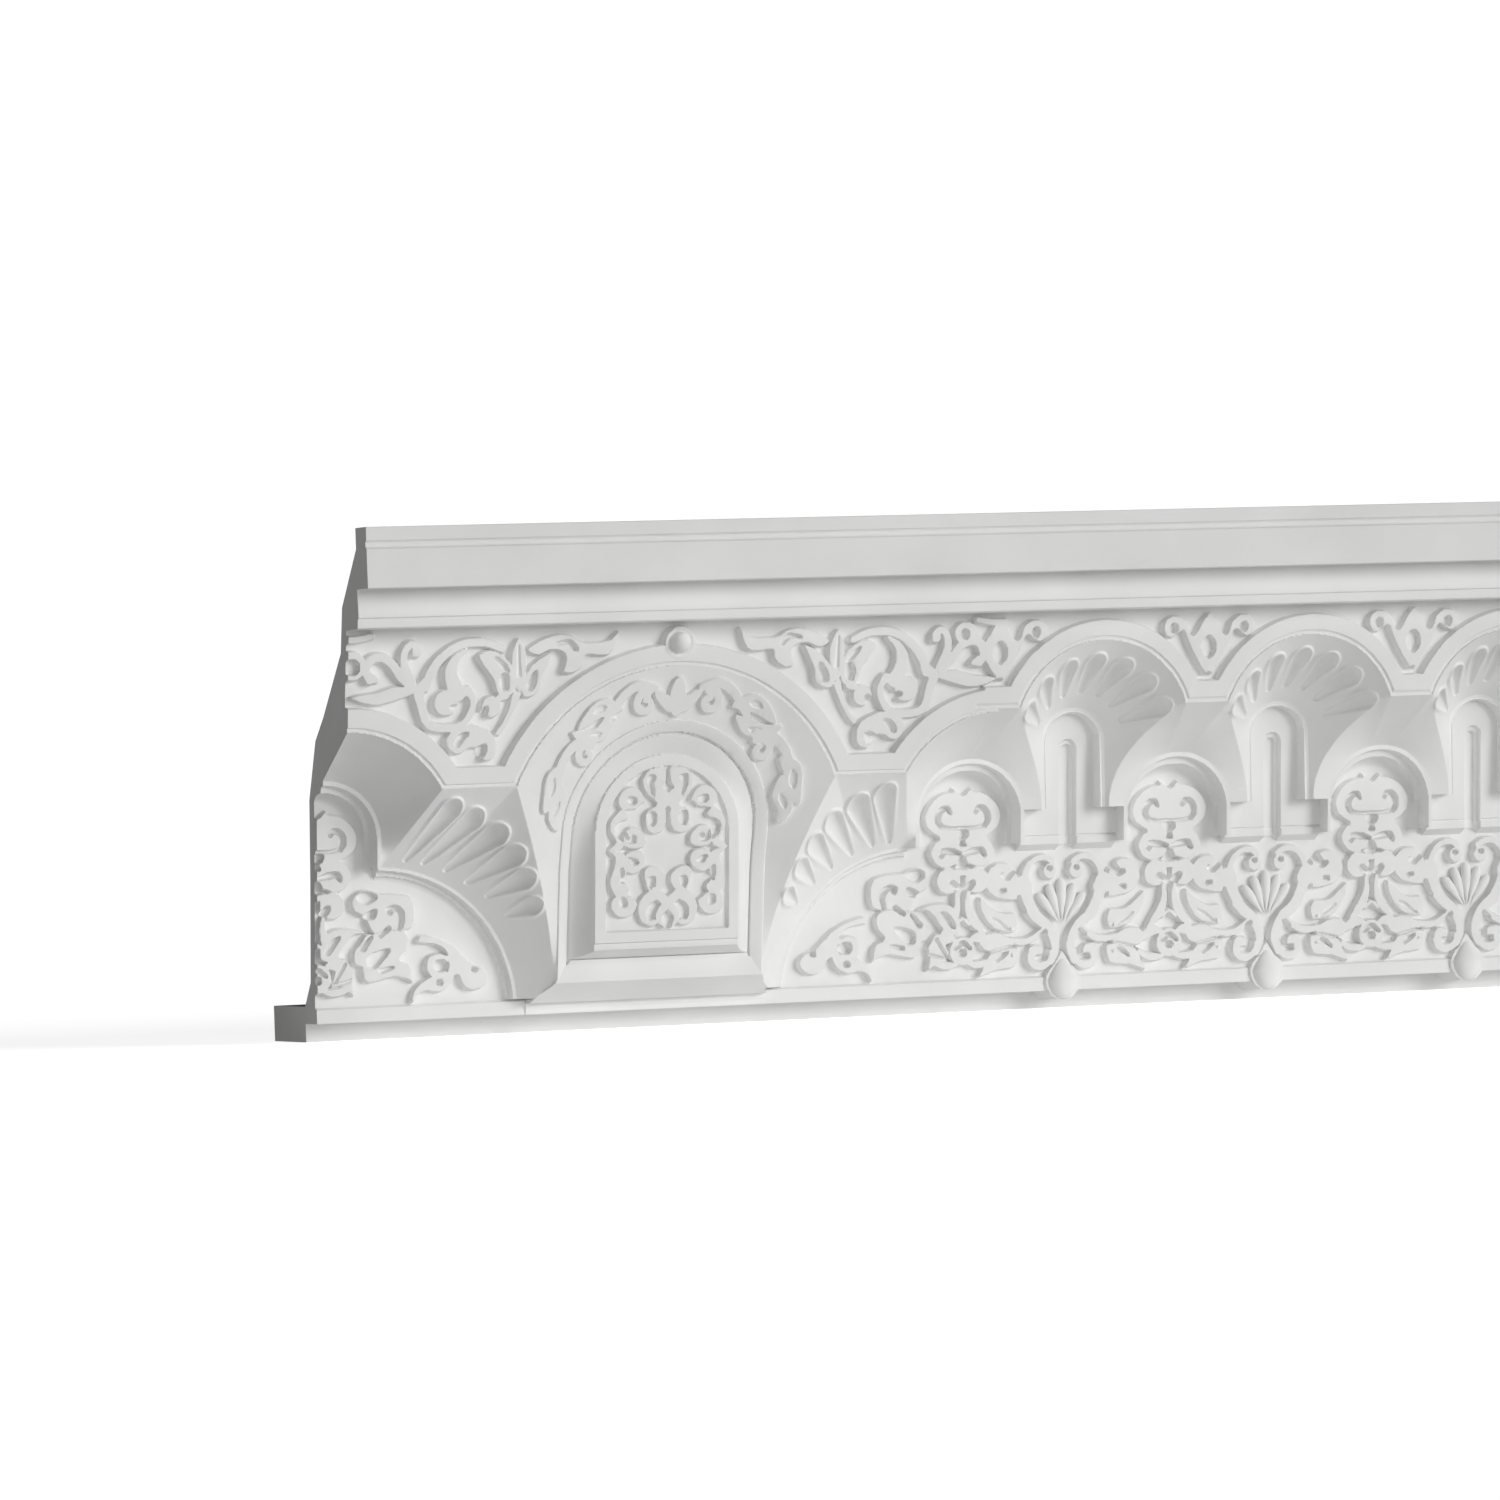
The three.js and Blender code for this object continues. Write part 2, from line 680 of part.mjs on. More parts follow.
/** What makes room for the base's flare between the fans' feet. */
function baseCut() {
  const flareRise = (baseDepth - baseFlareDepth) / (baseFoot - baseFlareFoot);
  return plate(
    rectangle(bigCentre - baseFlareHalf, bigCentre + baseFlareHalf, baseFlareFoot, baseFoot + overlap),
    (z) => baseFlareDepth - 1 + flareRise * (z - baseFlareFoot),
    () => clearOfFront,
  );
}

/** The mass that the fans are cut from, on both sides of the big niche. */
function fanBlock() {
  const lead = 1.2;
  const outline = fanArris()
    .getPoints(6)
    .map((p) => [-p.y + lead, p.z]);
  outline.unshift([ribbonFace(bigLinkZ + bigLinkHeight) - reliefHeight, bigLinkZ + bigLinkHeight]);
  outline.unshift([lowerGround(linkZ), bigLinkZ + bigLinkHeight]);
  outline.push([lowerGround(friezeFoot) - 1, outline.at(-1)[1]]);
  const start = fanCentreX;
  return run(outline.reverse(), start, 2 * bigCentre - start);
}

/** What the flat spandrel under a fan takes out of that mass. */
function fanSpandrelCut() {
  const low = bandTop - 4;
  const ringOuter = Array.from({ length: 9 }, (_, i) => fanRim(i / 8));
  const outline = [new THREE.Vector2(-1, low), new THREE.Vector2(ringOuter.at(-1).x, low)]
    .concat(ringOuter.reverse().map((p) => new THREE.Vector2(p.x, p.z)))
    .concat([new THREE.Vector2(fanCentreX - 4, ringOuter.at(-1).z)])
    .concat([new THREE.Vector2(-1, friezeTop)]);
  const steps = [
    [0, fanStep],
    [fanFillet, 0],
  ];
  return steps.map(([inset, rise]) => {
    const scale = (fanRadius - inset) / fanRadius;
    const inside = outline.map(
      (p) =>
        new THREE.Vector2(
          fanCentreX + (p.x - fanCentreX) * scale,
          p.y > low ? fanCentreZ + (p.y - fanCentreZ) * scale : low,
        ),
    );
    return plate(inside, (z) => lowerGround(z) + rise, () => clearOfFront);
  });
}

/** The ribbon round every arch, with the links between them, before the niches are cut. */
function ribbonPlates() {
  const back = ribbonBack;
  const face = (z) => ribbonFace(z);
  const disc = (cx, cz, radius, foot, steps) => {
    const half = THREE.MathUtils.radToDeg(Math.acos((foot - cz) / radius));
    return plate(arc(cx, cz, radius, half, -half, steps), back, face);
  };
  const link = (cx, half, low, high) => plate(rectangle(cx - half, cx + half, low, high), back, face);
  const quarterOuter = quarterArchRadius + quarterRibbon;
  const smallOuter = smallArchRadius + smallRibbon;
  const bigLinkFrom = Math.sqrt(quarterArchRadius ** 2 - (bigLinkZ - quarterArchZ) ** 2) - 1;
  const bigLinkTo = bigCentre - fanArris().v0.x + 1;
  const bigLinkMiddle = (bigLinkFrom + bigLinkTo) / 2;
  const bigLinkHalf = (bigLinkTo - bigLinkFrom) / 2;
  const lastX = 2 * bigCentre;
  const topOfLink = bigLinkZ + bigLinkHeight;
  const fill = plate(
    rectangle(bigLinkFrom - quarterRibbon, bigLinkTo + bigRibbon, bigLinkZ + 2, linkZ + 1),
    back,
    (z) => face(z) - reliefHeight,
  );
  const parts = [
    fill,
    solid(warp(geometryOf(fill), (x, y, z) => [2 * bigCentre - x, y, z])),
    disc(0, quarterArchZ, quarterOuter, bigLinkZ, 10),
    disc(lastX, quarterArchZ, quarterOuter, bigLinkZ, 10),
    disc(bigCentre, bigArchZ, bigArchRadius + bigRibbon, bigLinkZ, 20),
    link(bigLinkMiddle, bigLinkHalf, bigLinkZ, topOfLink),
    link(lastX - bigLinkMiddle, bigLinkHalf, bigLinkZ, topOfLink),
  ];
  upperNiches.forEach((cx) => parts.push(disc(cx, smallArchZ, smallOuter, linkZ - 2, 12)));
  lowerNiches.slice(1).forEach((cx) => parts.push(link(cx, linkHalf + 2, linkZ - 2, linkZ + linkHeight)));
  return join(parts);
}

/** The outline of a band along a spine, with its width at each share of the way. */
function stroke(spine, width) {
  const left = [];
  const right = [];
  spine.forEach((p, i) => {
    const before = spine[Math.max(i - 1, 0)];
    const after = spine[Math.min(i + 1, spine.length - 1)];
    const across = after.clone().sub(before).normalize();
    const half = width(i / (spine.length - 1)) / 2;
    left.push(new THREE.Vector2(p.x - across.y * half, p.y + across.x * half));
    right.unshift(new THREE.Vector2(p.x + across.y * half, p.y - across.x * half));
  });
  return left.concat(right);
}

/** A curled end: a spiral band that winds in round its eye. */
function volute(x, z, radius, from, sweep, width) {
  const steps = 4;
  const spine = Array.from({ length: steps + 1 }, (_, i) => {
    const share = i / steps;
    const angle = THREE.MathUtils.degToRad(from + sweep * share);
    const r = radius * (1 - 0.62 * share) - width * 0.5 * (1 - share);
    return new THREE.Vector2(x + r * Math.cos(angle), z + r * Math.sin(angle));
  });
  return stroke(spine, (share) => width * (1 - 0.25 * share));
}

/** A bent stem from one point to another by way of a third. */
function stem(x0, z0, bendX, bendZ, x1, z1, wide, narrow) {
  const curve = new THREE.QuadraticBezierCurve(
    new THREE.Vector2(x0, z0),
    new THREE.Vector2(bendX, bendZ),
    new THREE.Vector2(x1, z1),
  );
  return stroke(curve.getPoints(3), (share) => THREE.MathUtils.lerp(wide, narrow, share));
}

/** A pointed leaf, bent as a stem is. */
function leaf(x0, z0, bendX, bendZ, x1, z1, wide) {
  const curve = new THREE.QuadraticBezierCurve(
    new THREE.Vector2(x0, z0),
    new THREE.Vector2(bendX, bendZ),
    new THREE.Vector2(x1, z1),
  );
  const segments = 3;
  const band = stroke(curve.getPoints(segments), (share) => wide * Math.sin(Math.PI * share) ** 0.8);
  return band.slice(0, -1).filter((_, i) => i !== segments);
}

/** Moves an outline along, turned left to right where asked. */
function place(outline, x, flip = false) {
  const moved = outline.map((p) => new THREE.Vector2(x + (flip ? -p.x : p.x), p.y));
  return flip ? moved.reverse() : moved;
}

/** Outlines on both sides of a middle line. */
const pair = (outlines, x) => outlines.flatMap((o) => [place(o, x), place(o, x, true)]);

/** The two volutes and the bud over a link between small arches. */
function linkOrnament(cx) {
  const base = linkZ + 17;
  return pair(
    [stem(1, base, 8, base + 6, 15, base + 22, 6, 5), volute(19, base + 25.5, 6.8, 200, -290, 4.4)],
    cx,
  ).concat([place(leaf(0, base - 1, 0, base + 16, 0, base + 33, 12), cx)]);
}

/** The scrollwork over the big link, in the corner between a quarter arch and the big arch. */
function cornerOrnament() {
  return [
    volute(61, linkZ + 10, 17, 150, 290, 6.5),
    volute(82, linkZ + 4, 9, 90, -290, 5.4),
    volute(80, linkZ - 13.5, 9.5, 120, -290, 5.6),
    leaf(46, linkZ + 24, 66, linkZ + 60, 94, linkZ + 32, 10),
    leaf(62, linkZ + 26, 84, linkZ + 32, 96, linkZ + 14, 9),
    leaf(104, linkZ + 12, 106, linkZ + 30, 101, linkZ + 45, 9),
    leaf(105, linkZ + 12, 118, linkZ + 22, 116, linkZ + 34, 8),
    volute(127, linkZ + 36, 10.5, -120, 290, 6),
    leaf(132, linkZ + 40, 146, linkZ + 40, 158, linkZ + 48, 6),
    leaf(58, linkZ + 18, 34, linkZ + 14, 14, linkZ + 30, 9),
    leaf(46, linkZ + 22, 34, linkZ + 30, 30, linkZ + 48, 9),
    volute(19, linkZ + 36, 9.5, 20, 290, 5.5),
  ];
}

/** The scrollwork of the lower frieze about an upper niche's middle line. */
function friezeOrnament(cx) {
  const half = [
    volute(10, 80.5, 8.6, 190, -290, 4.4),
    stem(17, 86, 26, 74, 20, 62, 4, 5),
    stem(20, 64, 15, 52, 0, 42, 5, 4),
    stem(0, 44, 1, 30, 8, 23, 4, 5),
    volute(15.5, 31, 10, 250, 290, 5.4),
    volute(35.5, 76, 10, -60, 290, 5.4),
    leaf(22, 56, 32, 66, 46, 63, 8),
    leaf(26, 36, 42, 34, 50, 47, 12),
    leaf(25, 26, 40, 24, 52, 24, 6),
  ];
  return pair(half, cx);
}

/** The palmette's gadroons, proud of the scrollwork. */
function palmette(cx) {
  return [-1, 0, 1].map((i) => {
    const outline = leaf(0, 51, i * 8, 60, i * 9.5, 76 - 3 * Math.abs(i), 9);
    return place(outline, cx);
  });
}

/** The double scroll in a lower niche and the leaves under it. */
function nicheOrnament(cx) {
  const half = [
    volute(12.5, 113, 13, -110, 290, 6.4),
    stem(-1, 98, 8, 104, 19, 101, 7, 7),
    volute(11, 90, 9.5, 60, -290, 5.4),
    volute(8.5, 73.5, 9, 100, 290, 5.2),
    leaf(2, 67, 16, 62, 27, 44, 9),
  ];
  return pair(half, cx);
}

/** The leaf spray on the flat spandrel under the left fan. */
function spandrelOrnament() {
  return [
    volute(43, 70, 12.5, 160, -290, 6),
    leaf(14, 63, 24, 80, 34, 84, 9),
    leaf(2, 48, 14, 66, 30, 60, 11),
    volute(42, 46, 11, 180, 290, 6.4),
    volute(74, 40, 12.5, 140, -290, 6.2),
    leaf(50, 60, 86, 64, 90, 32, 7),
    leaf(78, 31, 90, 25, 99, 36, 9),
    leaf(10, 42, 20, 40, 24, 26, 10),
  ];
}

/** The interlaced scrolls of the panel. */
function panelOrnament() {
  const half = [
    volute(7.5, 138.5, 8.6, 180, -290, 4.6),
    volute(7.5, 118, 8.8, 100, 290, 4.8),
    volute(23.5, 127, 8.6, 200, -290, 4.8),
    volute(25, 110.5, 8.2, -40, 290, 4.6),
    volute(24.5, 94, 8.2, 40, -290, 4.6),
    volute(25, 75, 9.6, 60, -290, 5),
    volute(7.6, 83, 8.2, 180, -290, 4.6),
    stem(12, 76, 5, 68, -3, 60, 5.4, 5),
  ];
  return pair(half, bigCentre);
}

/** Raises outlines from a ground to a face, all joined flat before they lean with the ground. */
function relief(outlines, ground, sink, rise) {
  const flat = join(
    outlines.map((o) =>
      solid(new THREE.ExtrudeGeometry(new THREE.Shape(o), { depth: 1, bevelEnabled: false })),
    ),
  );
  return solid(
    warp(geometryOf(flat), (x, z, t) => [x, -(ground(z) - sink + (sink + rise) * t), z]),
  );
}

/** The round boss over the big arch. */
function boss() {
  const z = linkZ + bossRise;
  const ball = new THREE.SphereGeometry(bossRadius, 10, 6);
  ball.translate(bigCentre, -ribbonFace(z), z);
  const ring = plate(
    arc(bigCentre, z, bossRing, 0, 330, 11),
    (h) => ribbonFace(h) - reliefHeight - 2,
    (h) => ribbonFace(h) + 0.8,
  );
  return ring.add(solid(ball));
}

/** The drop that hangs over the band under each upper niche. */
function drop(cx) {
  const border = arc(cx, dropZ, dropBorder, 35, 325, 9);
  border.push(new THREE.Vector2(cx, dropZ + dropBorder * 1.6 - 2));
  const back = () => footDepth - 2;
  const shield = plate(border.reverse(), back, () => bandDepth + 1.2);
  const tear = new THREE.SphereGeometry(dropHalf, 10, 6);
  warp(tear, (x, y, z) => [x * (z > 0 ? 1 - (0.55 * z) / dropHalf : 1), y * 0.8, z * (z > 0 ? 1.5 : 1)]);
  tear.translate(cx, -bandDepth - 0.5, dropZ - 0.5);
  return shield.add(solid(tear));
}

/** The whole moulding, as one cast body. */
function moulding() {
  const bothFans = (made) => {
    const turned = warp(geometryOf(made), (x, y, z) => [2 * bigCentre - x, y, z]);
    return [made, solid(turned)];
  };
  let body = run([...frontOutline(), ...backOutline()].reverse(), -overlap, length + overlap);
  const spandrelRoom = plate(
    rectangle(-2 * overlap, 2 * bigCentre, bigLinkZ + 2, linkZ + overlap),
    (z) => ribbonFace(z) - reliefHeight,
    () => clearOfFront,
  );
  body = body.subtract(spandrelRoom);
  const block = fanBlock();
  const spandrels = fanSpandrelCut().flatMap(bothFans);
  body = body.add(block.subtract(join([...bothFans(fanCut()), ...spandrels]))).add(ribbonPlates());
  body = body.subtract(join([...bothFans(fanCut()), ...spandrels]));
  const vaults = [quarterVault(0), ...lowerNiches.map(pierVault), ...upperNiches.map(shellVault)];
  lowerNiches.slice(1).forEach((cx) => {
    const right = geometryOf(pierVault(cx));
    vaults.push(solid(warp(right, (x, y, z) => [2 * cx - x, y, z])));
  });
  const quarter = geometryOf(quarterVault(0));
  vaults.push(solid(warp(quarter, (x, y, z) => [2 * bigCentre - x, y, z])));
  body = body.subtract(join([...vaults, bigVault(), baseCut()]));
  body = body.subtract(join([0, ...lowerNiches].map(tympanumCut)));
  body = body.add(join([bigPanel(), bigBase(), ...upperNiches.map(upperFrame)]));
  body = body.subtract(join(upperNiches.flatMap(upperFrameCut)));
  body = body.subtract(join(upperNiches.flatMap(shellFlutes)));
  body = body.subtract(join(fanHollows().flatMap(bothFans)));
  const corner = cornerOrnament();
  const spray = spandrelOrnament();
  const upper = [...corner, ...corner.map((o) => place(o, 2 * bigCentre, true))].concat(
    lowerNiches.slice(1).flatMap(linkOrnament),
  );
  const lower = [...spray, ...spray.map((o) => place(o, 2 * bigCentre, true))].concat(
    upperNiches.flatMap(friezeOrnament),
    [0, ...lowerNiches].flatMap(nicheOrnament),
  );
  body = body.add(relief(upper, (z) => ribbonFace(z) - reliefHeight, 2, reliefHeight - 0.4));
  body = body.add(relief(lower, lowerGround, 2, reliefHeight - 0.3));
  body = body.add(relief(upperNiches.flatMap(palmette), lowerGround, 1.5, reliefHeight + 1.6));
  body = body.add(relief(panelOrnament(), (z) => panelFace(z) - fieldSink, 1, fieldSink + 0.3));
  body = body.add(join([boss(), ...upperNiches.map(drop)]));
  const square = plate(rectangle(0, length, -overlap, height + overlap), () => -1, () => clearOfFront);
  return body.intersect(square);
}

const castWhite = new THREE.MeshStandardMaterial({ color: 0xe9e9e7, roughness: 0.75, metalness: 0 });
const geometry = geometryOf(moulding());
geometry.translate(-length / 2, 0, -footBackHeight / 2);
const mesh = new THREE.Mesh(geometry.toNonIndexed(), castWhite);
mesh.geometry.computeVertexNormals();
mesh.name = "cornice_moulding";

const cornice = new THREE.Group();
cornice.add(mesh);

export default cornice;
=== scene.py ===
"""A cast cornice moulding: its carved front in full relief, its drops and petals, and a studio.

Lengths in the drawing are millimetres. x runs along the wall from the left end, z runs up from the
underside of the foot, and depth is measured out from the wall. Meshes are handed over in metres.
"""

import logging
import math
from collections.abc import Callable
from dataclasses import dataclass, field
from enum import Enum

import bpy
import bmesh
import numpy as np
from mathutils import Matrix, Vector


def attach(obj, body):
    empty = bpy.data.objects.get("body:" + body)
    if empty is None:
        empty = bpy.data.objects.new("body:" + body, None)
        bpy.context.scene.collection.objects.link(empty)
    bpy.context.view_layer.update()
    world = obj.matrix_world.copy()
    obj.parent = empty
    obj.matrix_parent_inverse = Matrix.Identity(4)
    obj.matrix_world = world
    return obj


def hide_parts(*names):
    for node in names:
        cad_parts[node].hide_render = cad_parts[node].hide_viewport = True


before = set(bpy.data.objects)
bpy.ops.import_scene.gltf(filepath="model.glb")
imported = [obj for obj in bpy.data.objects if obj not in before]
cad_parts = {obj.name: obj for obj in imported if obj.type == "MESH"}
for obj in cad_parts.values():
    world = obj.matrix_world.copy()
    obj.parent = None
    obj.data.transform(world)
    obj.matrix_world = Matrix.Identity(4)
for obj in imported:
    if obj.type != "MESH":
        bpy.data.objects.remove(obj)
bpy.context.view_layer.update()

log = logging.getLogger("cornice")

BODY = "root"
NODE = "cornice_moulding"
MM = 0.001
DROP = 9.9  # the underside of the foot lies this far below the frame's zero height
BIG_LINK = 137.5  # height of the ribbon's underside between the round arches
QUARTER_CENTRE = 105.5
QUARTER_RADIUS = 64.5

Field = np.ndarray
Point = tuple[float, float]


class Blend(Enum):
    """Whether a mark stands up from what is under it or is cut into it."""

    RAISE = "raise"
    SINK = "sink"


@dataclass(frozen=True)
class Levels:
    """Heights of the horizontal members, above the underside of the foot."""

    foot: float = 10.3
    band_top: float = 17.9
    frieze_foot: float = 19.2
    frieze_top: float = 90.5
    sill_foot: float = 94.0
    plate_foot: float = 98.0
    pier_foot: float = 114.0
    link: float = 172.0
    upper_top: float = 225.0
    top: float = 280.0


@dataclass(frozen=True)
class Pattern:
    """The repeat of the moulding along the wall, in millimetres from its left end."""

    bay: float = 129.5
    bays_before_arcade: int = 3
    arcade_bays: int = 3

    @property
    def length(self) -> float:
        """The whole length."""
        return self.bay * (self.bays_before_arcade + self.arcade_bays)

    @property
    def big_centre(self) -> float:
        """The middle of the big niche."""
        return self.bay * self.bays_before_arcade / 2

    @property
    def lower_niches(self) -> list[float]:
        """Middles of the lower niches, the cut ones at both ends among them."""
        count = self.arcade_bays + 1
        return [0.0] + [self.bay * (self.bays_before_arcade + i) for i in range(count)]

    @property
    def upper_niches(self) -> list[float]:
        """Middles of the upper niches."""
        return [self.bay * (self.bays_before_arcade + i + 0.5) for i in range(self.arcade_bays)]


LEVELS = Levels()
PATTERN = Pattern()


def smooth_step(value: Field) -> Field:
    """An S-shaped ramp that is 0 at 0 and below and 1 at 1 and above."""
    t = np.clip(value, 0.0, 1.0)
    return t * t * (3.0 - 2.0 * t)


def segment_distance(x: Field, z: Field, start: Point, end: Point) -> tuple[Field, Field]:
    """Distance from points to a line segment.

    Args:
        x: Places along the wall.
        z: Heights.
        start: One end of the segment.
        end: The other end.

    Returns:
        The distance, and the share of the way from start to end of the nearest spot.
    """
    dx, dz = end[0] - start[0], end[1] - start[1]
    share = ((x - start[0]) * dx + (z - start[1]) * dz) / max(dx * dx + dz * dz, 1e-9)
    share = np.clip(share, 0.0, 1.0)
    return np.hypot(x - start[0] - share * dx, z - start[1] - share * dz), share


def spline_spot(a: Field, b: Field, c: Field, d: Field, t: float) -> Point:
    """A spot between b and c on the smooth curve through four points, t of the way along."""
    spot = 0.5 * (2 * b + (c - a) * t + (2 * a - 5 * b + 4 * c - d) * t**2 + (3 * b - a - 3 * c + d) * t**3)
    return float(spot[0]), float(spot[1])


def from_middle(out: Field, z: Field, spring: float) -> Field:
    """Distance from the middle of a round-headed shape: from its centre above, sideways below."""
    return np.where(z > spring, np.hypot(out, z - spring), np.abs(out))


def catmull(points: list[Point], steps: int) -> list[Point]:
    """A smooth curve through points.

    Args:
        points: The points that it passes.
        steps: Pieces between each two of them.

    Returns:
        Points along the curve, both ends among them.
    """
    spots = [points[0], *points, points[-1]]
    curve: list[Point] = []
    for i in range(len(points) - 1):
        a, b, c, d = (np.array(spots[i + k]) for k in range(4))
        for step in range(steps):
            curve.append(spline_spot(a, b, c, d, step / steps))
    curve.append(points[-1])
    return curve


def lower_ground(z: Field) -> Field:
    """Depth of the lower frieze's ground at a height."""
    return 68.5 + 0.09 * (z - LEVELS.frieze_foot)


def ribbon_face(z: Field) -> Field:
    """Depth of the ribbon's face at a height."""
    return 137.0 + 0.15 * (z - LEVELS.link)


def rim_depth(z: Field) -> Field:
    """Depth of a lower niche's rim at a height."""
    return 91.5 + 0.09 * (z - LEVELS.pier_foot)


@dataclass(frozen=True)
class Edge:
    """A sharp edge between two hollows, as places out from a niche's middle, depths and heights."""

    out: Field
    depth: Field
    z: Field

    def out_at(self, z: Field) -> Field:
        """How far out the edge is at a height."""
        order = np.argsort(self.z)
        return np.interp(z, self.z[order], self.out[order])

    def depth_at(self, z: Field) -> Field:
        """The edge's depth at a height."""
        order = np.argsort(self.z)
        return np.interp(z, self.z[order], self.depth[order])


def bezier_edge(points: list[tuple[float, float, float]], steps: int = 60) -> Edge:
    """An edge along a Bezier curve.

    Args:
        points: Control points as (out, depth, z).
        steps: Pieces along the curve.

    Returns:
        The edge as sampled.
    """
    t = np.linspace(0.0, 1.0, steps + 1)
    degree = len(points) - 1
    weights = [math.comb(degree, i) * t**i * (1 - t) ** (degree - i) for i in range(degree + 1)]
    out, depth, z = (sum(w * p[k] for w, p in zip(weights, points)) for k in range(3))
    return Edge(out, depth, z)


@dataclass
class Vault:
    """A hollow face ruled straight out from a round or upright rim to a sharp edge or an arch."""

    spring: float
    radius: float
    out: Field
    depth: Field
    z: Field

    def __post_init__(self) -> None:
        """Sorts the outer edge by its direction from the rim's centre, which is how it is looked up."""
        self.angle = np.arctan2(self.out, self.z - self.spring)
        order = np.argsort(self.angle)
        self.angle = self.angle[order]
        self.reach = np.hypot(self.out, self.z - self.spring)[order]
        self.far = self.depth[order]

    def face(self, out: Field, z: Field, rim_at: Callable[[Field], Field]) -> Field:
        """The hollow's depth.

        Args:
            out: Distances out from the niche's middle.
            z: Heights.
            rim_at: The rim's depth as a function of height.

        Returns:
            Depths.
        """
        angle = np.arctan2(np.abs(out), z - self.spring)
        distance = np.hypot(out, z - self.spring)
        reach = np.interp(angle, self.angle, self.reach)
        far = np.interp(angle, self.angle, self.far)
        near = rim_at(self.spring + self.radius * np.cos(angle))
        share = np.clip((distance - self.radius) / (reach - self.radius), 0.0, 1.0)
        return near + (far - near) * share

    def with_cheeks(
        self, out: Field, z: Field, rim_at: Callable[[Field], Field], edge_out: Field, edge_depth: Field
    ) -> Field:
        """The hollow's depth, with upright cheeks under its springing.

        Args:
            out: Distances out from the niche's middle.
            z: Heights.
            rim_at: The rim's depth as a function of height.
            edge_out: How far out the sharp edge is at those heights.
            edge_depth: The sharp edge's depth there.

        Returns:
            Depths.
        """
        share = (np.abs(out) - self.radius) / np.maximum(edge_out - self.radius, 0.1)
        near = rim_at(z)
        cheek = near + (edge_depth - near) * np.clip(share, 0.0, 1.0)
        return np.where(z > self.spring, self.face(out, z, rim_at), cheek)


PIER_EDGE = bezier_edge(
    [(13.25, 137.0, 172.0), (26.0, 109.2, 159.0), (43.75, 93.5, 139.0), (43.75, 93.3, 114.0)]
)
FAN_EDGE = bezier_edge([(95.25, 131.8, 137.5), (61.5, 98.6, 60.0), (62.1, 89.5, 18.4)])


def arch_points(radius: float, centre: float, low: float, steps: int = 60) -> tuple[Field, Field]:
    """Half of an arch, from its crown down to a height.

    Args:
        radius: The arch's radius.
        centre: Height of its centre.
        low: The height where it ends.
        steps: Pieces along it.

    Returns:
        Distances out from its middle, and heights.
    """
    angle = np.linspace(0.0, math.acos((low - centre) / radius), steps + 1)
    return radius * np.sin(angle), centre + radius * np.cos(angle)


@dataclass
class LowerNiches:
    """The niches between the piers, with their fillets and tympana."""

    spring: float = 110.0
    radius: float = 34.0
    first_fillet: float = 31.0
    second_fillet: float = 27.2
    cove: float = 21.5
    fillet_foot: float = 95.0
    fan_start: tuple[float, float, float] = (35.9, 82.4, 95.4)

    def __post_init__(self) -> None:
        """Lays out the two kinds of vault."""
        link_out = np.linspace(0.0, PIER_EDGE.out[0], 12)
        self.pier = Vault(
            self.spring,
            self.radius,
            np.concatenate([link_out, PIER_EDGE.out]),
            np.concatenate([np.full(12, PIER_EDGE.depth[0]), PIER_EDGE.depth]),
            np.concatenate([np.full(12, LEVELS.link), PIER_EDGE.z]),
        )
        out, z = arch_points(QUARTER_RADIUS, QUARTER_CENTRE, BIG_LINK)
        share = np.linspace(0.0, 1.0, 20)
        x_end, d_end, z_end = self.fan_start
        line_out = out[-1] + (x_end - out[-1]) * share
        line_depth = ribbon_face(z[-1]) + (d_end - ribbon_face(z[-1])) * share
        line_z = z[-1] + (z_end - z[-1]) * share
        self.quarter = Vault(
            self.spring,
            self.radius,
            np.concatenate([out, line_out]),
            np.concatenate([ribbon_face(z), line_depth]),
            np.concatenate([z, line_z]),
        )

    def fan_line(self, z: Field) -> Field:
        """Where the quarter vault meets the fan, as a distance out from the niche's middle."""
        top = math.sqrt(QUARTER_RADIUS**2 - (BIG_LINK - QUARTER_CENTRE) ** 2)
        return np.interp(z, [self.fan_start[2], BIG_LINK], [self.fan_start[0], top])

    def tympanum(self, out: Field, z: Field) -> Field:
        """Depth inside a niche's rim: first fillet, second fillet, cove and ground.

        Args:
            out: Distances out from the niche's middle.
            z: Heights.

        Returns:
            The depths there.
        """
        across = from_middle(out, z, self.spring)
        ground = lower_ground(z)
        second = ground + 3.8 + 0.24 * np.maximum(z - self.spring, 0.0)
        rim = rim_depth(np.minimum(z, self.spring + self.radius))
        cove = np.clip((across - self.cove) / (self.second_fillet - self.cove), 0.0, 1.0)
        depth = ground + (second - 0.8 - ground) * (1.0 - np.sqrt(1.0 - cove**2 * 0.999))
        depth = np.where(across > self.second_fillet, second, depth)
        step = smooth_step((across - self.first_fillet + 0.6) / 0.9)
        return depth + (rim - depth) * step


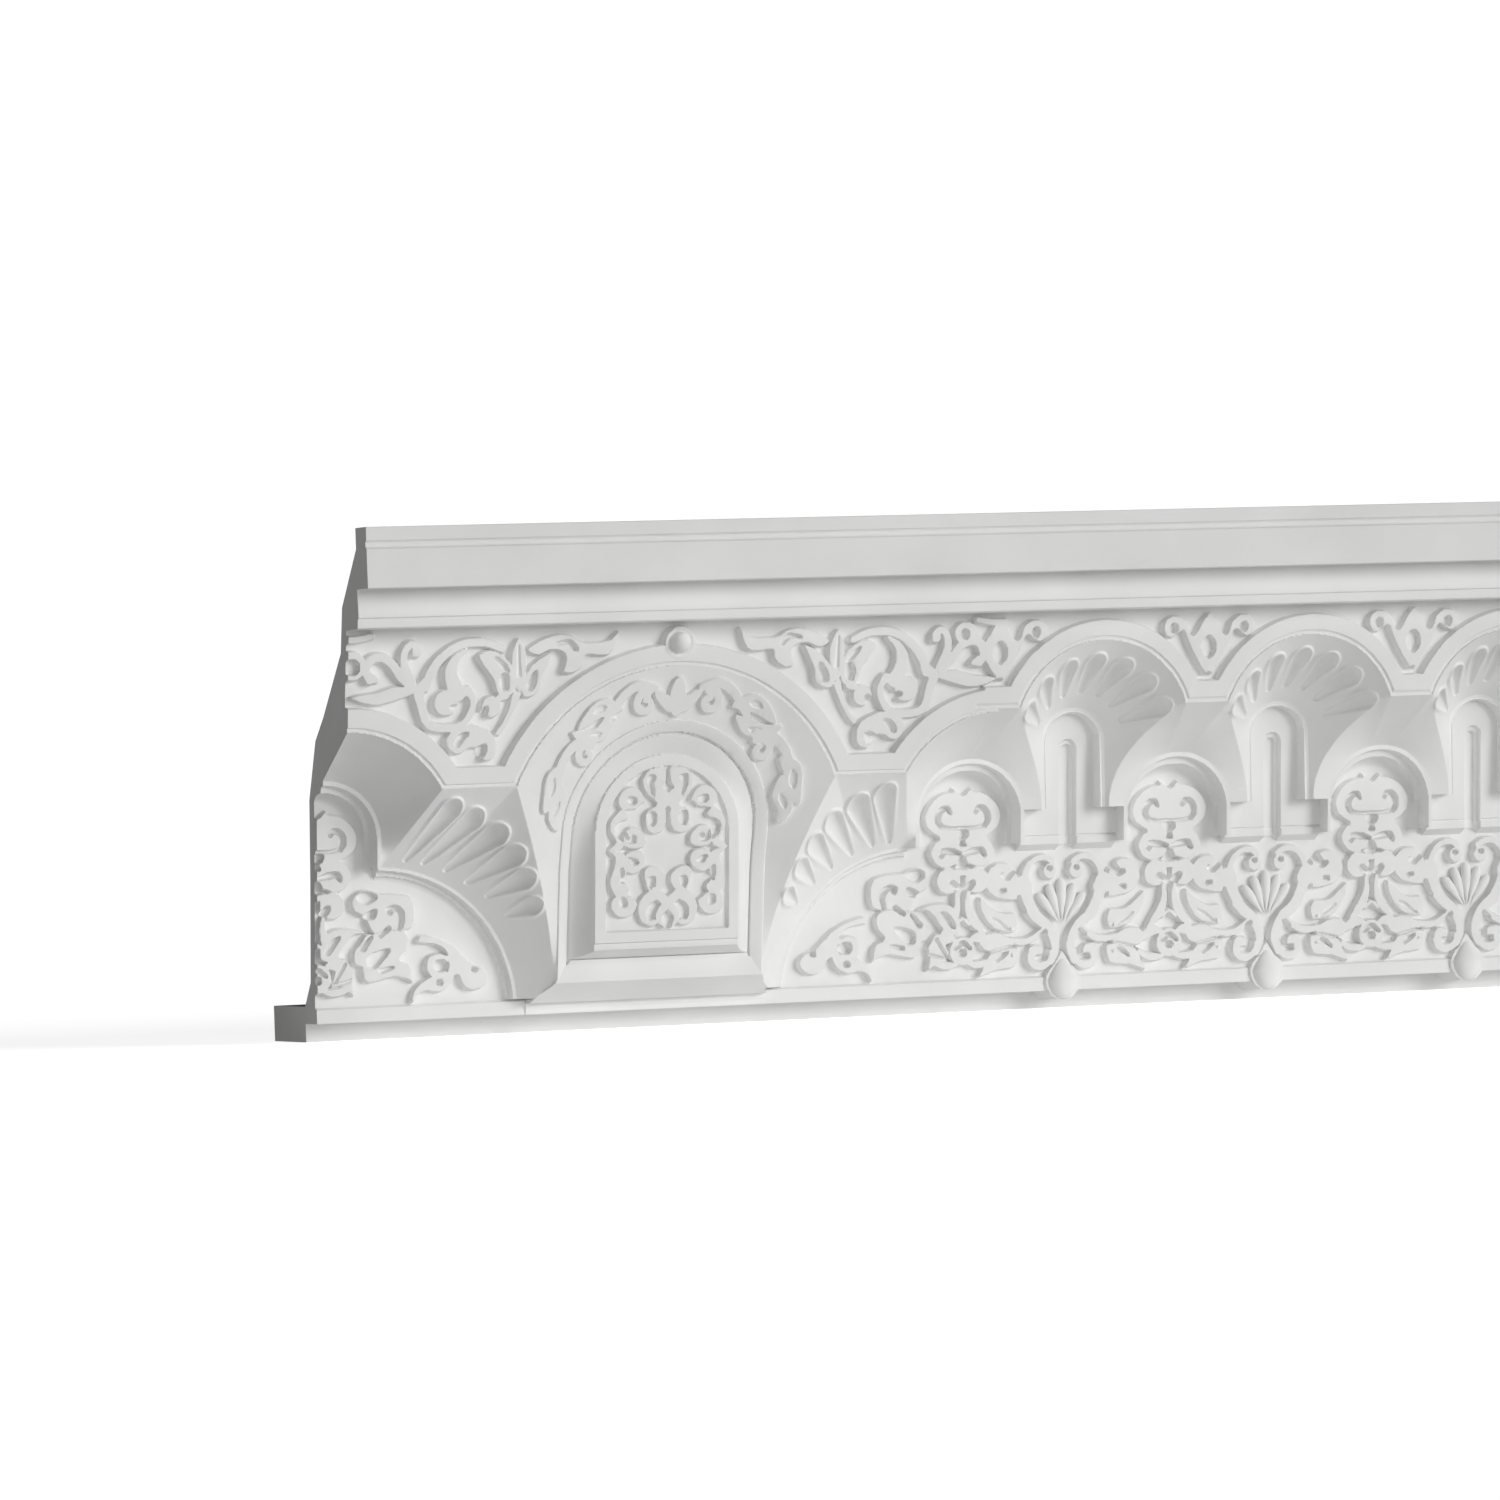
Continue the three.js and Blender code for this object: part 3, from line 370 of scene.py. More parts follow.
@dataclass
class UpperNiches:
    """The niches under the small arches, with their arched frames, slots and shells."""

    spring: float = 151.5
    radius: float = 19.5
    arch_radius: float = 54.6
    arch_centre: float = 153.9
    roll: float = 3.5
    slot: float = 5.0
    slot_top: float = 153.0
    slot_foot: float = 90.5

    def __post_init__(self) -> None:
        """Lays out the shell vault."""
        half_bay = PATTERN.bay / 2
        out, z = arch_points(self.arch_radius, self.arch_centre, LEVELS.link)
        self.shell = Vault(
            self.spring,
            self.radius,
            np.concatenate([out, half_bay - PIER_EDGE.out]),
            np.concatenate([ribbon_face(z), PIER_EDGE.depth]),
            np.concatenate([z, PIER_EDGE.z]),
        )

    def frame_face(self, z: Field) -> Field:
        """Depth of the frame's face."""
        return 91.0 + 0.04 * (z - LEVELS.pier_foot)

    def vault(self, out: Field, z: Field) -> Field:
        """Depth of the shell vault, and of the cheeks under it."""
        edge_out = PATTERN.bay / 2 - PIER_EDGE.out_at(z)
        return self.shell.with_cheeks(out, z, self.frame_face, edge_out, PIER_EDGE.depth_at(z))

    def frame(self, out: Field, z: Field) -> Field:
        """Depth of the frame with its inner panel and a fine groove; the double slot is cut separately.

        Args:
            out: Distances out from the niche's middle.
            z: Heights.

        Returns:
            The depths there.
        """
        across = from_middle(out, z, self.spring)
        face = self.frame_face(z)
        panel = lower_ground(z) + 5.0
        inner = self.radius - self.roll
        groove = np.exp(-(((across - inner - 1.9) / 0.45) ** 2)) * 0.5
        depth = np.where(across > inner, face - groove, panel)
        depth = depth - (face - panel) * np.where(
            across > inner, 1.0 - smooth_step((across - inner) / 0.8), 0.0
        )
        return depth

    def slot_cut(self, out: Field, z: Field, depth: Field) -> Field:
        """Cuts the double slot into a depth.

        Args:
            out: Distances out from the niche's middle.
            z: Heights.
            depth: The depths so far.

        Returns:
            The depths with it.
        """
        for half, top, drop in ((self.slot, self.slot_top, 2.4), (3.2, 150.2, 2.6)):
            centre = top - half
            across = from_middle(out, z, centre)
            inside = smooth_step((half - across) / 0.8 + 0.5) * (z > self.slot_foot)
            depth = depth - drop * inside
        return depth


@dataclass
class BigNiche:
    """The niche with the moulded panel, over its plain base."""

    spring: float = 109.5
    flange: float = 61.5
    flange_inner: float = 55.0
    groove: float = 1.2
    frame_outer: float = 43.0
    frame_inner: float = 36.3
    arch_radius: float = 102.8
    arch_centre: float = 98.2
    field_foot: float = 55.0
    frame_foot: float = 45.0
    base_top: float = 40.0
    base_foot: float = 27.5
    base_half: float = 62.5
    base_depth: float = 95.0
    flare_foot: float = 16.5
    flare_half: float = 72.0
    flare_depth: float = 77.0

    def __post_init__(self) -> None:
        """Lays out the vault over the flange."""
        out, z = arch_points(self.arch_radius, self.arch_centre, BIG_LINK)
        above = FAN_EDGE.z > self.spring - 1.0
        self.vault = Vault(
            self.spring,
            self.flange,
            np.concatenate([out, FAN_EDGE.out[above]]),
            np.concatenate([ribbon_face(z), FAN_EDGE.depth[above]]),
            np.concatenate([z, FAN_EDGE.z[above]]),
        )

    @staticmethod
    def flange_face(z: Field) -> Field:
        """Depth of the flange's outer edge."""
        return np.interp(z, [27.5, 90.0, 171.0], [94.0, 104.0, 129.0])

    @staticmethod
    def panel_face(z: Field) -> Field:
        """Depth of the panel's frame."""
        return 112.4 + 0.103 * (z - 90.0)

    def niche(self, out: Field, z: Field) -> Field:
        """Depth of the vault, the flange and the panel.

        Args:
            out: Distances out from the niche's middle.
            z: Heights.

        Returns:
            The depths there.
        """
        across = from_middle(out, z, self.spring)
        edge_out, edge_depth = FAN_EDGE.out_at(z), FAN_EDGE.depth_at(z)
        depth = self.vault.with_cheeks(out, z, self.flange_face, edge_out, edge_depth)
        return np.where(across < self.flange, self.panel(across, z), depth)

    def panel(self, across: Field, z: Field) -> Field:
        """Depth inside the flange: flange, groove, rising hollow, frame and sunk field.

        Args:
            across: Distances from the panel's middle line.
            z: Heights.

        Returns:
            The depths there.
        """
        face = self.panel_face(z)
        flange = self.flange_face(z)
        dish = np.clip((self.flange - across) / (self.flange - self.flange_inner), 0.0, 1.0)
        depth = flange + 1.0 - 2.2 * dish**1.5
        edge = self.flange_inner - self.groove
        rise = np.clip((edge - across) / (edge - self.frame_outer), 0.0, 1.0)
        low = flange - 3.4
        depth = np.where(across < self.flange_inner, low, depth)
        hollow_face = low + 1.2 + (face - 2.6 - low) * (0.35 * rise + 0.65 * rise**2.2)
        depth = np.where(across < edge, hollow_face, depth)
        depth = np.where(across < self.frame_outer, face, depth)
        sink = smooth_step((self.frame_inner - across) / 1.0 + 0.5)
        sink = sink * smooth_step((z - self.field_foot) / 1.0 + 0.5)
        return depth - 2.2 * sink

    def flare(self, z: Field) -> tuple[Field, Field]:
        """Half-width and depth of the base's flare at a height.

        Args:
            z: Heights.

        Returns:
            Half-widths and depths.
        """
        t = np.clip((self.base_foot - z) / (self.base_foot - self.flare_foot), 0.0, 1.0)
        half = self.base_half + (self.flare_half - self.base_half) * t
        return half, self.base_depth + (self.flare_depth - self.base_depth) * t

    def base(self, out: Field, z: Field, depth: Field) -> Field:
        """Adds the base and its flared foot to a depth, and the moulded lower edge of the panel.

        Args:
            out: Distances out from the niche's middle.
            z: Heights.
            depth: The depths so far.

        Returns:
            The depths with it.
        """
        wide = np.abs(out)
        face = self.panel_face(z)
        climb = np.clip((z - self.base_top) / 5.0, 0.0, 1.0)
        under = self.base_depth - 1.5 + (face - self.base_depth + 1.5) * climb
        reach = self.frame_outer + 12.0 * np.clip((self.frame_foot - z) / 5.0, 0.0, 1.0)
        hidden = (z > self.base_top) & (z < self.frame_foot) & (wide < reach)
        depth = np.where(hidden, np.minimum(depth, under), depth)
        lip = (z >= self.frame_foot) & (z < self.frame_foot + 3.5) & (wide < self.frame_outer)
        depth = np.where(lip, face - 1.4, depth)
        half, flare_depth = self.flare(z)
        within = (wide < half) & (z < self.base_foot) & (z >= self.flare_foot)
        depth = np.where(within, flare_depth, depth)
        block_half = self.base_half - 0.75 * (z - self.base_foot)
        block = (wide < block_half) & (z <= self.base_top) & (z >= self.base_foot)
        depth = np.where(block, self.base_depth, depth)
        for drop in (3.0, 6.0):
            level = z < self.flare_foot - drop + 3.0
            face_depth = self.flare_depth - 4.0 - 0.2 * drop
            depth = np.where(level & (wide < self.flare_half), face_depth, depth)
        return depth


@dataclass
class Fans:
    """The shell fans beside the big niche, over the flat spandrels."""

    centre: Point = (33.0, 12.0)
    radius: float = 83.5
    rise: float = 7.0
    link_from: float = 56.0
    link_to: float = 99.0
    turn: float = 0.24
    samples: int = 160

    def rim(self, share: Field) -> tuple[Field, Field, Field]:
        """Points of the lower rim, as (x, depth, z).

        Args:
            share: Shares of the way along it.

        Returns:
            Places along the wall, depths and heights.
        """
        angle = np.radians(88.0 - 86.0 * share)
        z = self.centre[1] + self.radius * np.sin(angle)
        return self.centre[0] + self.radius * np.cos(angle), lower_ground(z) + self.rise, z

    def edge(self, share: Field) -> tuple[Field, Field, Field]:
        """Points of the upper edge: along the link, then down the big niche's edge.

        Args:
            share: Shares of the way along it.

        Returns:
            Places along the wall, depths and heights.
        """
        along = np.clip(share / self.turn, 0.0, 1.0)
        down = np.clip((share - self.turn) / (1.0 - self.turn), 0.0, 1.0)
        place = np.linspace(0.0, 1.0, len(FAN_EDGE.z))
        x_edge = PATTERN.big_centre - np.interp(down, place, FAN_EDGE.out)
        x_link = self.link_from + (self.link_to - self.link_from) * along
        on_link = share <= self.turn
        depth = np.where(on_link, ribbon_face(BIG_LINK), np.interp(down, place, FAN_EDGE.depth))
        z = np.where(on_link, BIG_LINK, np.interp(down, place, FAN_EDGE.z))
        return np.where(on_link, x_link, x_edge), depth, z

    def face(self, x: Field, z: Field) -> Field:
        """Depth of the fan's ruled face at points of the left fan.

        Args:
            x: Places along the wall.
            z: Heights.

        Returns:
            The depths there.
        """
        shares = np.linspace(-0.02, 1.0, self.samples)
        rim_x, rim_d, rim_z = self.rim(shares)
        edge_x, edge_d, edge_z = self.edge(shares)
        dx, dz = edge_x - rim_x, edge_z - rim_z
        flat_x, flat_z = x.ravel(), z.ravel()
        depth = np.empty_like(flat_x)
        for start in range(0, flat_x.size, 20000):
            px, pz = flat_x[start : start + 20000, None], flat_z[start : start + 20000, None]
            side = dx * (pz - rim_z) - dz * (px - rim_x)
            crossing = np.argmax(side > 0, axis=1)
            crossing = np.where(crossing == 0, self.samples - 1, crossing)
            rows = np.arange(len(crossing))
            before, after = side[rows, crossing - 1], side[rows, crossing]
            mix = np.clip(before / np.where(before - after == 0, 1.0, before - after), 0.0, 1.0)
            index = crossing - 1 + mix
            place = np.arange(self.samples)
            at = [np.interp(index, place, values) for values in (rim_x, rim_z, rim_d, edge_x, edge_z, edge_d)]
            length = np.hypot(at[3] - at[0], at[4] - at[1])
            share = np.hypot(px[:, 0] - at[0], pz[:, 0] - at[1]) / length
            depth[start : start + 20000] = at[2] + (at[5] - at[2]) * np.clip(share, 0.0, 1.0)
        return depth.reshape(x.shape)

    def spandrel(self, x: Field, z: Field) -> Field:
        """Depth inside the fan's rim: two fillets, a cove and the flat ground.

        Args:
            x: Places along the wall.
            z: Heights.

        Returns:
            The depths there.
        """
        across = self.radius - np.hypot(x - self.centre[0], z - self.centre[1])
        ground = lower_ground(z)
        cove = np.clip((8.5 - across) / 3.5, 0.0, 1.0)
        depth = ground + 1.9 * (1.0 - np.sqrt(1.0 - 0.999 * cove**2))
        depth = np.where(across < 5.0, ground + 3.0, depth)
        return depth + (ground + self.rise - depth) * smooth_step((2.8 - across) / 0.8)


@dataclass
class Relief:
    """A window of raised carving: how high each spot stands over its ground, from 0 to 1."""

    x: Field
    z: Field
    height: Field
    edge: float = 1.2

    def window(self, points: list[Point], margin: float) -> tuple[slice, slice]:
        """The part of the net that points and a margin round them cover.

        Args:
            points: The points that it passes.
            margin: How far round the points it reaches.

        Returns:
            Its rows and columns.
        """
        across, up = [p[0] for p in points], [p[1] for p in points]
        cols = np.searchsorted(self.x[0], [min(across) - margin, max(across) + margin])
        rows = np.searchsorted(self.z[:, 0], [min(up) - margin, max(up) + margin])
        return slice(rows[0], rows[1]), slice(cols[0], cols[1])

    def shape(self, part: tuple[slice, slice], inside: Field, level: float, blend: Blend) -> None:
        """Raises or sinks what is inside a shape to a level, with a rounded edge.

        Args:
            part: The rows and columns that the shape covers.
            inside: How far inside the shape each spot is.
            level: How high it stands, or the floor that it is sunk to.
            blend: Whether it is raised or sunk.
        """
        here = self.height[part]
        if blend is Blend.RAISE:
            self.height[part] = np.maximum(here, level * smooth_step(inside / self.edge + 0.4))
            return
        cut = smooth_step(inside / self.edge + 0.5)
        self.height[part] = here * (1.0 - cut) + np.minimum(here, level) * cut

    def band(self, points: list[Point], widths: list[float], level: float, blend: Blend) -> None:
        """Raises or sinks a band along points.

        Args:
            points: The band's middle line.
            widths: Its width at even shares of the way.
            level: How high it stands, or the floor that it is sunk to.
            blend: Whether it is raised or sunk.
        """
        count = len(points) - 1
        shares = np.linspace(0.0, 1.0, count + 1)
        half = np.interp(shares, np.linspace(0.0, 1.0, len(widths)), widths) / 2
        part = self.window(points, float(np.max(half)) + self.edge)
        x, z = self.x[part], self.z[part]
        if x.size == 0:
            return
        inside = np.full_like(x, -9.0)
        for i in range(count):
            away, share = segment_distance(x, z, points[i], points[i + 1])
            inside = np.maximum(inside, half[i] + (half[i + 1] - half[i]) * share - away)
        self.shape(part, inside, level, blend)

    def plate(self, points: list[Point], level: float, blend: Blend) -> None:
        """Raises or sinks what lies inside a closed smooth outline.

        Args:
            points: Corners that the outline passes, in order.
            level: How high it stands, or the floor that it is sunk to.
            blend: Whether it is raised or sunk.
        """
        ring = catmull_ring(points, 4)
        part = self.window(ring, self.edge)
        x, z = self.x[part], self.z[part]
        if x.size == 0:
            return
        away = np.full_like(x, 99.0)
        within = np.zeros(x.shape, dtype=bool)
        for start, end in zip(ring, ring[1:] + ring[:1]):
            away = np.minimum(away, segment_distance(x, z, start, end)[0])
            if start[1] != end[1]:
                crosses = (start[1] > z) != (end[1] > z)
                at = start[0] + (z - start[1]) * (end[0] - start[0]) / (end[1] - start[1])
                within ^= crosses & (x < at)
        inside = np.where(within, away, -away)
        self.shape(part, inside, level, blend)


def catmull_ring(points: list[Point], steps: int) -> list[Point]:
    """A smooth closed curve through points, without its first point again at the end.

    Args:
        points: The points that it passes.
        steps: Pieces between each two points.

    Returns:
        Points round the curve.
    """
    count = len(points)
    ring: list[Point] = []
    for i in range(count):
        a, b, c, d = (np.array(points[(i + k - 1) % count]) for k in range(4))
        for step in range(steps):
            ring.append(spline_spot(a, b, c, d, step / steps))
    return ring


def curl(eye: Point, radius: float, start: float, sweep: float, width: float) -> list[Point]:
    """The middle line of a scroll's curled end round its eye.

    Args:
        eye: The middle of the curl.
        radius: Its outer radius.
        start: The direction from the eye where it begins, in degrees from +x.
        sweep: How far it turns, in degrees; negative turns clockwise.
        width: Its width where it begins.

    Returns:
        Points from the outside in.
    """
    count = max(int(abs(sweep) / 15), 6)
    points: list[Point] = []
    for i in range(count + 1):
        share = i / count
        angle = math.radians(start + sweep * share)
        r = (radius - width / 2) * (1 - 0.72 * share)
        points.append((eye[0] + r * math.cos(angle), eye[1] + r * math.sin(angle)))
    return points


class Cut(Enum):
    """What a carved mark is."""

    STEM = "a bent raised band"
    PLATE = "a raised flat shape"
    GROOVE = "a sunk line"
    HOLLOW = "a sunk shape"


@dataclass(frozen=True)
class Mark:
    """One carved mark, as points in the drawing."""

    cut: Cut
    points: tuple[Point, ...]
    widths: tuple[float, ...] = ()
    level: float = 1.0

    def carve(self, relief: Relief, x: float = 0.0, flip: bool = False, lean: float = 0.0) -> None:
        """Carves the mark into a relief.

        Args:
            relief: What is carved.
            x: Where the drawing's middle line is along the wall.
            flip: Whether the drawing is mirrored.
            lean: How far the middle line leans along the wall.
        """
        side = -1.0 if flip else 1.0
        points = [(x + lean + side * px, pz) for px, pz in self.points]
        blend = Blend.RAISE if self.cut in (Cut.STEM, Cut.PLATE) else Blend.SINK
        if self.cut in (Cut.PLATE, Cut.HOLLOW):
            relief.plate(points, self.level, blend)
        else:
            line = catmull(points, 5) if len(points) < 20 else points
            relief.band(line, list(self.widths), self.level, blend)


def stem(points: list[Point], *widths: float, level: float = 1.0) -> Mark:
    """A bent band."""
    return Mark(Cut.STEM, tuple(points), widths, level)


def plate(points: list[Point], level: float = 1.0) -> Mark:
    """A flat raised shape."""
    return Mark(Cut.PLATE, tuple(points), (), level)


def hollow(points: list[Point], level: float = 0.15) -> Mark:
    """A sunk shape."""
    return Mark(Cut.HOLLOW, tuple(points), (), level)


def groove(points: list[Point], *widths: float, level: float = 0.3) -> Mark:
    """A sunk line or eye."""
    return Mark(Cut.GROOVE, tuple(points), widths, level)


def eye(x: float, z: float, radius: float, level: float = 0.1) -> Mark:
    """A small round hole."""
    return Mark(Cut.GROOVE, ((x - 0.2, z), (x + 0.2, z)), (2 * radius, 2 * radius), level)


def volute(x: float, z: float, radius: float, start: float, sweep: float, width: float) -> Mark:
    """A curled end."""
    points = curl((x, z), radius, start, sweep, width)
    return Mark(Cut.STEM, tuple(points), (width, width * 0.9, width * 0.72))


def leaf(points: list[Point], width: float, vein: float = 0.35) -> list[Mark]:
    """A pointed leaf, with a hollow down its middle.

    Args:
        points: The points that it passes.
        width: Its greatest width.
        vein: The hollow's width as a share of the leaf's; 0 leaves it out.

    Returns:
        The leaf's mark and its hollow's.
    """
    shape = [0.25, 0.72, 1.0, 1.0, 0.9, 0.65, 0.12]
    marks = [stem(points, *(width * s for s in shape))]
    if vein > 0:
        marks.append(groove(catmull(points, 6)[6:-6], 0.5, width * vein, width * vein, 0.5, level=0.5))
    return marks


def carve_pair(relief: Relief, marks: list[Mark], x: float, mirror_x: float, lean: float = 0.0) -> None:
    """Carves each mark about one middle line, and its mirror image about another.

    Args:
        relief: What is carved.
        marks: The marks, in order.
        x: Where the drawing's middle line is.
        mirror_x: Where the mirror images' middle line is.
        lean: How far both are moved along the wall.
    """
    for mark in marks:
        mark.carve(relief, x, lean=lean)
        mark.carve(relief, mirror_x, flip=True, lean=lean)


def frieze_marks() -> list[Mark]:
    """The right half of the scrollwork under an upper niche, about its middle line.

    Returns:
        The marks, in the order in which they are carved.
    """
    return [
        stem([(24, 68.5), (24, 76), (21.6, 82), (16.8, 85.8), (11, 86.4), (6.6, 84)], 7, 5, 4.6, 4.6, 5),
        stem([(7.9, 78.6), (8.1, 78.7)], 9.6, 9.6),
        eye(8.4, 80.2, 1.2),
        stem([(25, 72), (24, 66.5), (21.4, 60), (16.6, 53), (10, 47.5), (6, 41), (4.8, 34), (7.3, 27.5)], 11,
            10, 9, 8, 7.4, 7, 6.2, 5.6),
        volute(15.2, 30.6, 10.4, 175, 400, 6.2),
        stem([(18.2, 33.2), (18, 32.4)], 8, 8),
        groove([(11.6, 36), (10.6, 32), (12.2, 29.2), (15.4, 29.6)], 2.4, 3.2, 3.4, 2.8, level=0),
        stem([(24, 69), (31, 67.5), (38, 68)], 11.5, 10, 9),
        stem([(38.2, 74.2), (38.4, 74.3)], 21, 21),
        groove([(28.6, 85), (31.6, 80), (34.8, 76.4)], 6, 4.2, 3.8, level=0),
        groove([(35.2, 76.4), (37.4, 77)], 3.6, 2.6, level=0.1),
        groove([(36.4, 68.6), (38.6, 68.2)], 1.8, 2.2, level=0.2),
        groove([(27.6, 64.4), (26.4, 60), (23.4, 55.8)], 1.4, 2.8, 1, level=0),
        plate([(30.2, 55.7), (36, 55.8), (41, 57.3), (46, 61.1), (50.3, 65), (52.1, 64.5), (51.6, 59.2),
            (50.3, 56.1), (48.5, 53), (45.6, 49.2), (41, 45.8), (36, 44.6), (30.2, 44.4), (28.1, 47.2),
            (27.9, 52.2)], 0.8),
        groove([(44.1, 53), (39.7, 50.4), (34.7, 46.7)], 1, 2.2, 1, level=0.45),
        stem([(10.5, 47), (15.5, 42.6), (21, 39.6), (27, 38.9), (32, 40)], 4, 4.8, 5, 4.8, 4),
        plate([(30.2, 40.4), (34.7, 42.6), (37.8, 44.4), (41, 45), (44.7, 45), (48.5, 44.1), (51, 41),
            (52.5, 38.9), (51, 36.4), (49.1, 34.8), (44.2, 33.5), (36.2, 34.9), (31, 36.6)]),
        groove([(30.5, 42.6), (35.5, 44), (41, 45.6)], 0.8, 1.6, 1, level=0.35),
        plate([(27.8, 35.6), (26.9, 32.6), (27.2, 29.5), (28.5, 26.4), (31, 24.2), (36, 23.6), (41, 23.2),
            (44.7, 22), (52.7, 19.8), (49.7, 26), (47.5, 31), (44, 34), (36.2, 35.7)]),
        groove([(34.7, 33.2), (37.8, 31.4), (41, 28.9)], 1, 2.4, 1.2, level=0.2),
        groove([(33, 36.6), (40, 34.9), (47, 33.4)], 0.8, 1.4, 0.8, level=0.45),
        stem([(31.4, 31.4), (31.8, 31.4)], 2.4, 2.4, level=1.25),
        stem([(32, 46.4), (32.4, 46.4)], 2.4, 2.4, level=1.1),
        groove([(10.9, 44.6), (13.2, 41.6)], 1.8, 3, level=0),
    ]


def niche_marks() -> list[Mark]:
    """The right half of the double scroll in a lower niche and what hangs under it.

    Returns:
        The marks, in the order in which they are carved.
    """
    return [
        plate([(-6.8, 125.2), (0, 123.4), (6.8, 125.6), (14.6, 124), (21.1, 118.4), (23.8, 112),
            (22.5, 105.6), (18.4, 102), (14.6, 99.6), (17.6, 97), (20.2, 92), (18.8, 87), (15, 83.2),
            (10, 82), (4, 84), (-4, 84)]),
        groove([(13.4, 105.9), (15.4, 109.2), (15, 112.9), (12.7, 115.5), (9.4, 116.1), (7.8, 113.6)], 2.2,
            3, 2.8, 1.4, level=0.1),
        groove([(-1, 105), (8, 105), (13.6, 106.2)], 1.5, 1.5, 1.8, level=0.35),
        hollow([(-3, 103.6), (3, 103.6), (3, 100.4), (0, 98.6), (-3, 100.4)], 0),
        groove([(1.4, 90.2), (6.3, 91.6), (11.3, 92), (13.4, 89.4)], 1.6, 3.2, 3.2, 2.2, level=0.05),
        hollow([(-1.8, 95), (1.8, 95), (0, 98)], 0.1),
        hollow([(-3, 82.5), (3, 82.5), (1.6, 87.4), (0, 88.6), (-1.6, 87.4)], 0),
        stem([(8.6, 75), (8.8, 75.1)], 15.6, 15.6),
        groove([(2.2, 69.4), (4.4, 71.8), (6.2, 73.6)], 3, 3.8, 3, level=0.1),
        stem([(0, 79.5), (4, 80)], 4, 5),
        stem([(3.4, 68), (3.2, 61), (5.2, 54.5), (9.2, 48.8), (14.4, 44)], 3.4, 5, 6.4, 6, 1.2),
        stem([(-4, 50), (0, 53.4), (4, 50)], 2.6, 3.2, 2.6),
        stem([(0, 35), (0.2, 35)], 17, 17),
        groove([(-4.6, 36.6), (0, 39.6), (4.6, 36.6)], 1.6, 2.2, 1.6, level=0.2),
        eye(0, 34, 1.9),
        *leaf([(4, 41.5), (10, 42.5), (16, 39.5), (22, 37.5)], 7, 0),
        *leaf([(2, 28), (9, 27), (16, 28.5), (20, 33)], 5.4, 0),
    ]


def spandrel_marks() -> list[Mark]:
    """The spray on the flat spandrel under the left fan, out from the lower niche's middle.

    Returns:
        The marks, in the order in which they are carved.
    """
    return [
        plate([(59.2, 52.8), (60.5, 56.9), (70.9, 54.8), (80, 50.3), (85.9, 44.8), (91.7, 39.6),
            (98.2, 36.9), (101, 32.3), (98.4, 27.3), (91.7, 25.2), (85.9, 27.6), (82.5, 33.8), (79.2, 33.4),
            (75.9, 32.8), (70.5, 31.9), (65.9, 34), (63.4, 39), (65, 44.8), (70.9, 46.9), (75.9, 45.7),
            (72.5, 49.8), (66.7, 51.9)]),
        plate([(80.9, 34.8), (79.2, 29.8), (75, 26.1), (70, 24.7), (64.2, 25.7), (59.2, 24), (56.7, 19.8),
            (55, 21.5), (56.6, 27), (60.9, 31.2), (65.9, 33.9), (71.7, 34), (75.9, 34.4)]),
        eye(92.3, 37, 1.5),
        eye(72.1, 39.6, 3.4, 0),
        groove([(75.6, 37.4), (76.4, 40.6)], 1.6, 1.4, level=0.2),
        eye(71.7, 30.4, 1.6),
        plate([(53.8, 56.5), (49.2, 60), (40.9, 59.8), (35, 58.6), (28.4, 58.6), (25, 54), (21.3, 49.8),
            (20.6, 45.7), (22.1, 41.9), (25.9, 40.3), (26.5, 34.8), (30, 31.7), (37.5, 33), (45.9, 34.4),
            (52.5, 32.8), (55.9, 30.7), (55.5, 35.7), (54.2, 40.7), (48.8, 44.2), (53, 49.8)]),
        hollow([(42.5, 49.8), (35, 49), (30, 46.5), (29.6, 41.5), (33.4, 39.8), (37.5, 43.2)]),
        groove([(44.2, 39.8), (37.5, 38.2)], 1.4, 2.4, level=0.3),
        groove([(31.7, 56.9), (26.7, 50.7)], 1.2, 2.8, level=0.1),
        plate([(57.4, 67.3), (57.4, 73.2), (55, 78.2), (47.5, 80.3), (38.4, 80.7), (35, 81.9), (30.9, 82.8),
            (25, 82.8), (20.9, 79.8), (19.9, 75.7), (21.7, 71.5), (27.1, 68.2), (30, 63.2), (33.4, 58.6),
            (41.7, 59.7), (50.9, 60), (55.9, 61.7)]),
        groove([(42.5, 70.3), (42.1, 71.9), (45, 72.8), (48.6, 70.7), (49.8, 66.5), (48.5, 61)], 2.6, 2.6, 3,
            1.8, level=0.05),
        hollow([(35, 79.4), (30, 81.9), (25, 81.5), (23.8, 78.2), (28, 75.3), (32.1, 76.5)]),
        hollow([(34.2, 72.3), (27.5, 69.4), (29, 67), (33.4, 67.6)], 0),
        groove([(41.7, 61.2), (36.7, 57.6)], 2.4, 2, level=0),
        plate([(27.9, 59.6), (20.9, 62), (12.5, 62.8), (5.9, 60.7), (3.4, 56.5), (0.9, 51.5), (1.7, 45.7),
            (6.7, 44), (12.5, 47.3), (17.6, 54.5), (22, 58.4)]),
        hollow([(13.4, 57.8), (9, 56.2), (4.6, 50), (5.9, 48), (9.4, 51.5)]),
        plate([(17.5, 45.3), (12.5, 44.8), (9.6, 38.2), (8.4, 30.7), (14.2, 29.8), (19.2, 25.7),
            (21.7, 24.8), (20.9, 31.5), (21.4, 37.5)]),
        groove([(9.6, 31.6), (16.2, 42.5)], 0.8, 1.6, level=0.45),
        groove([(9.8, 31), (20, 33.6)], 0.8, 1.6, level=0.45),
    ]


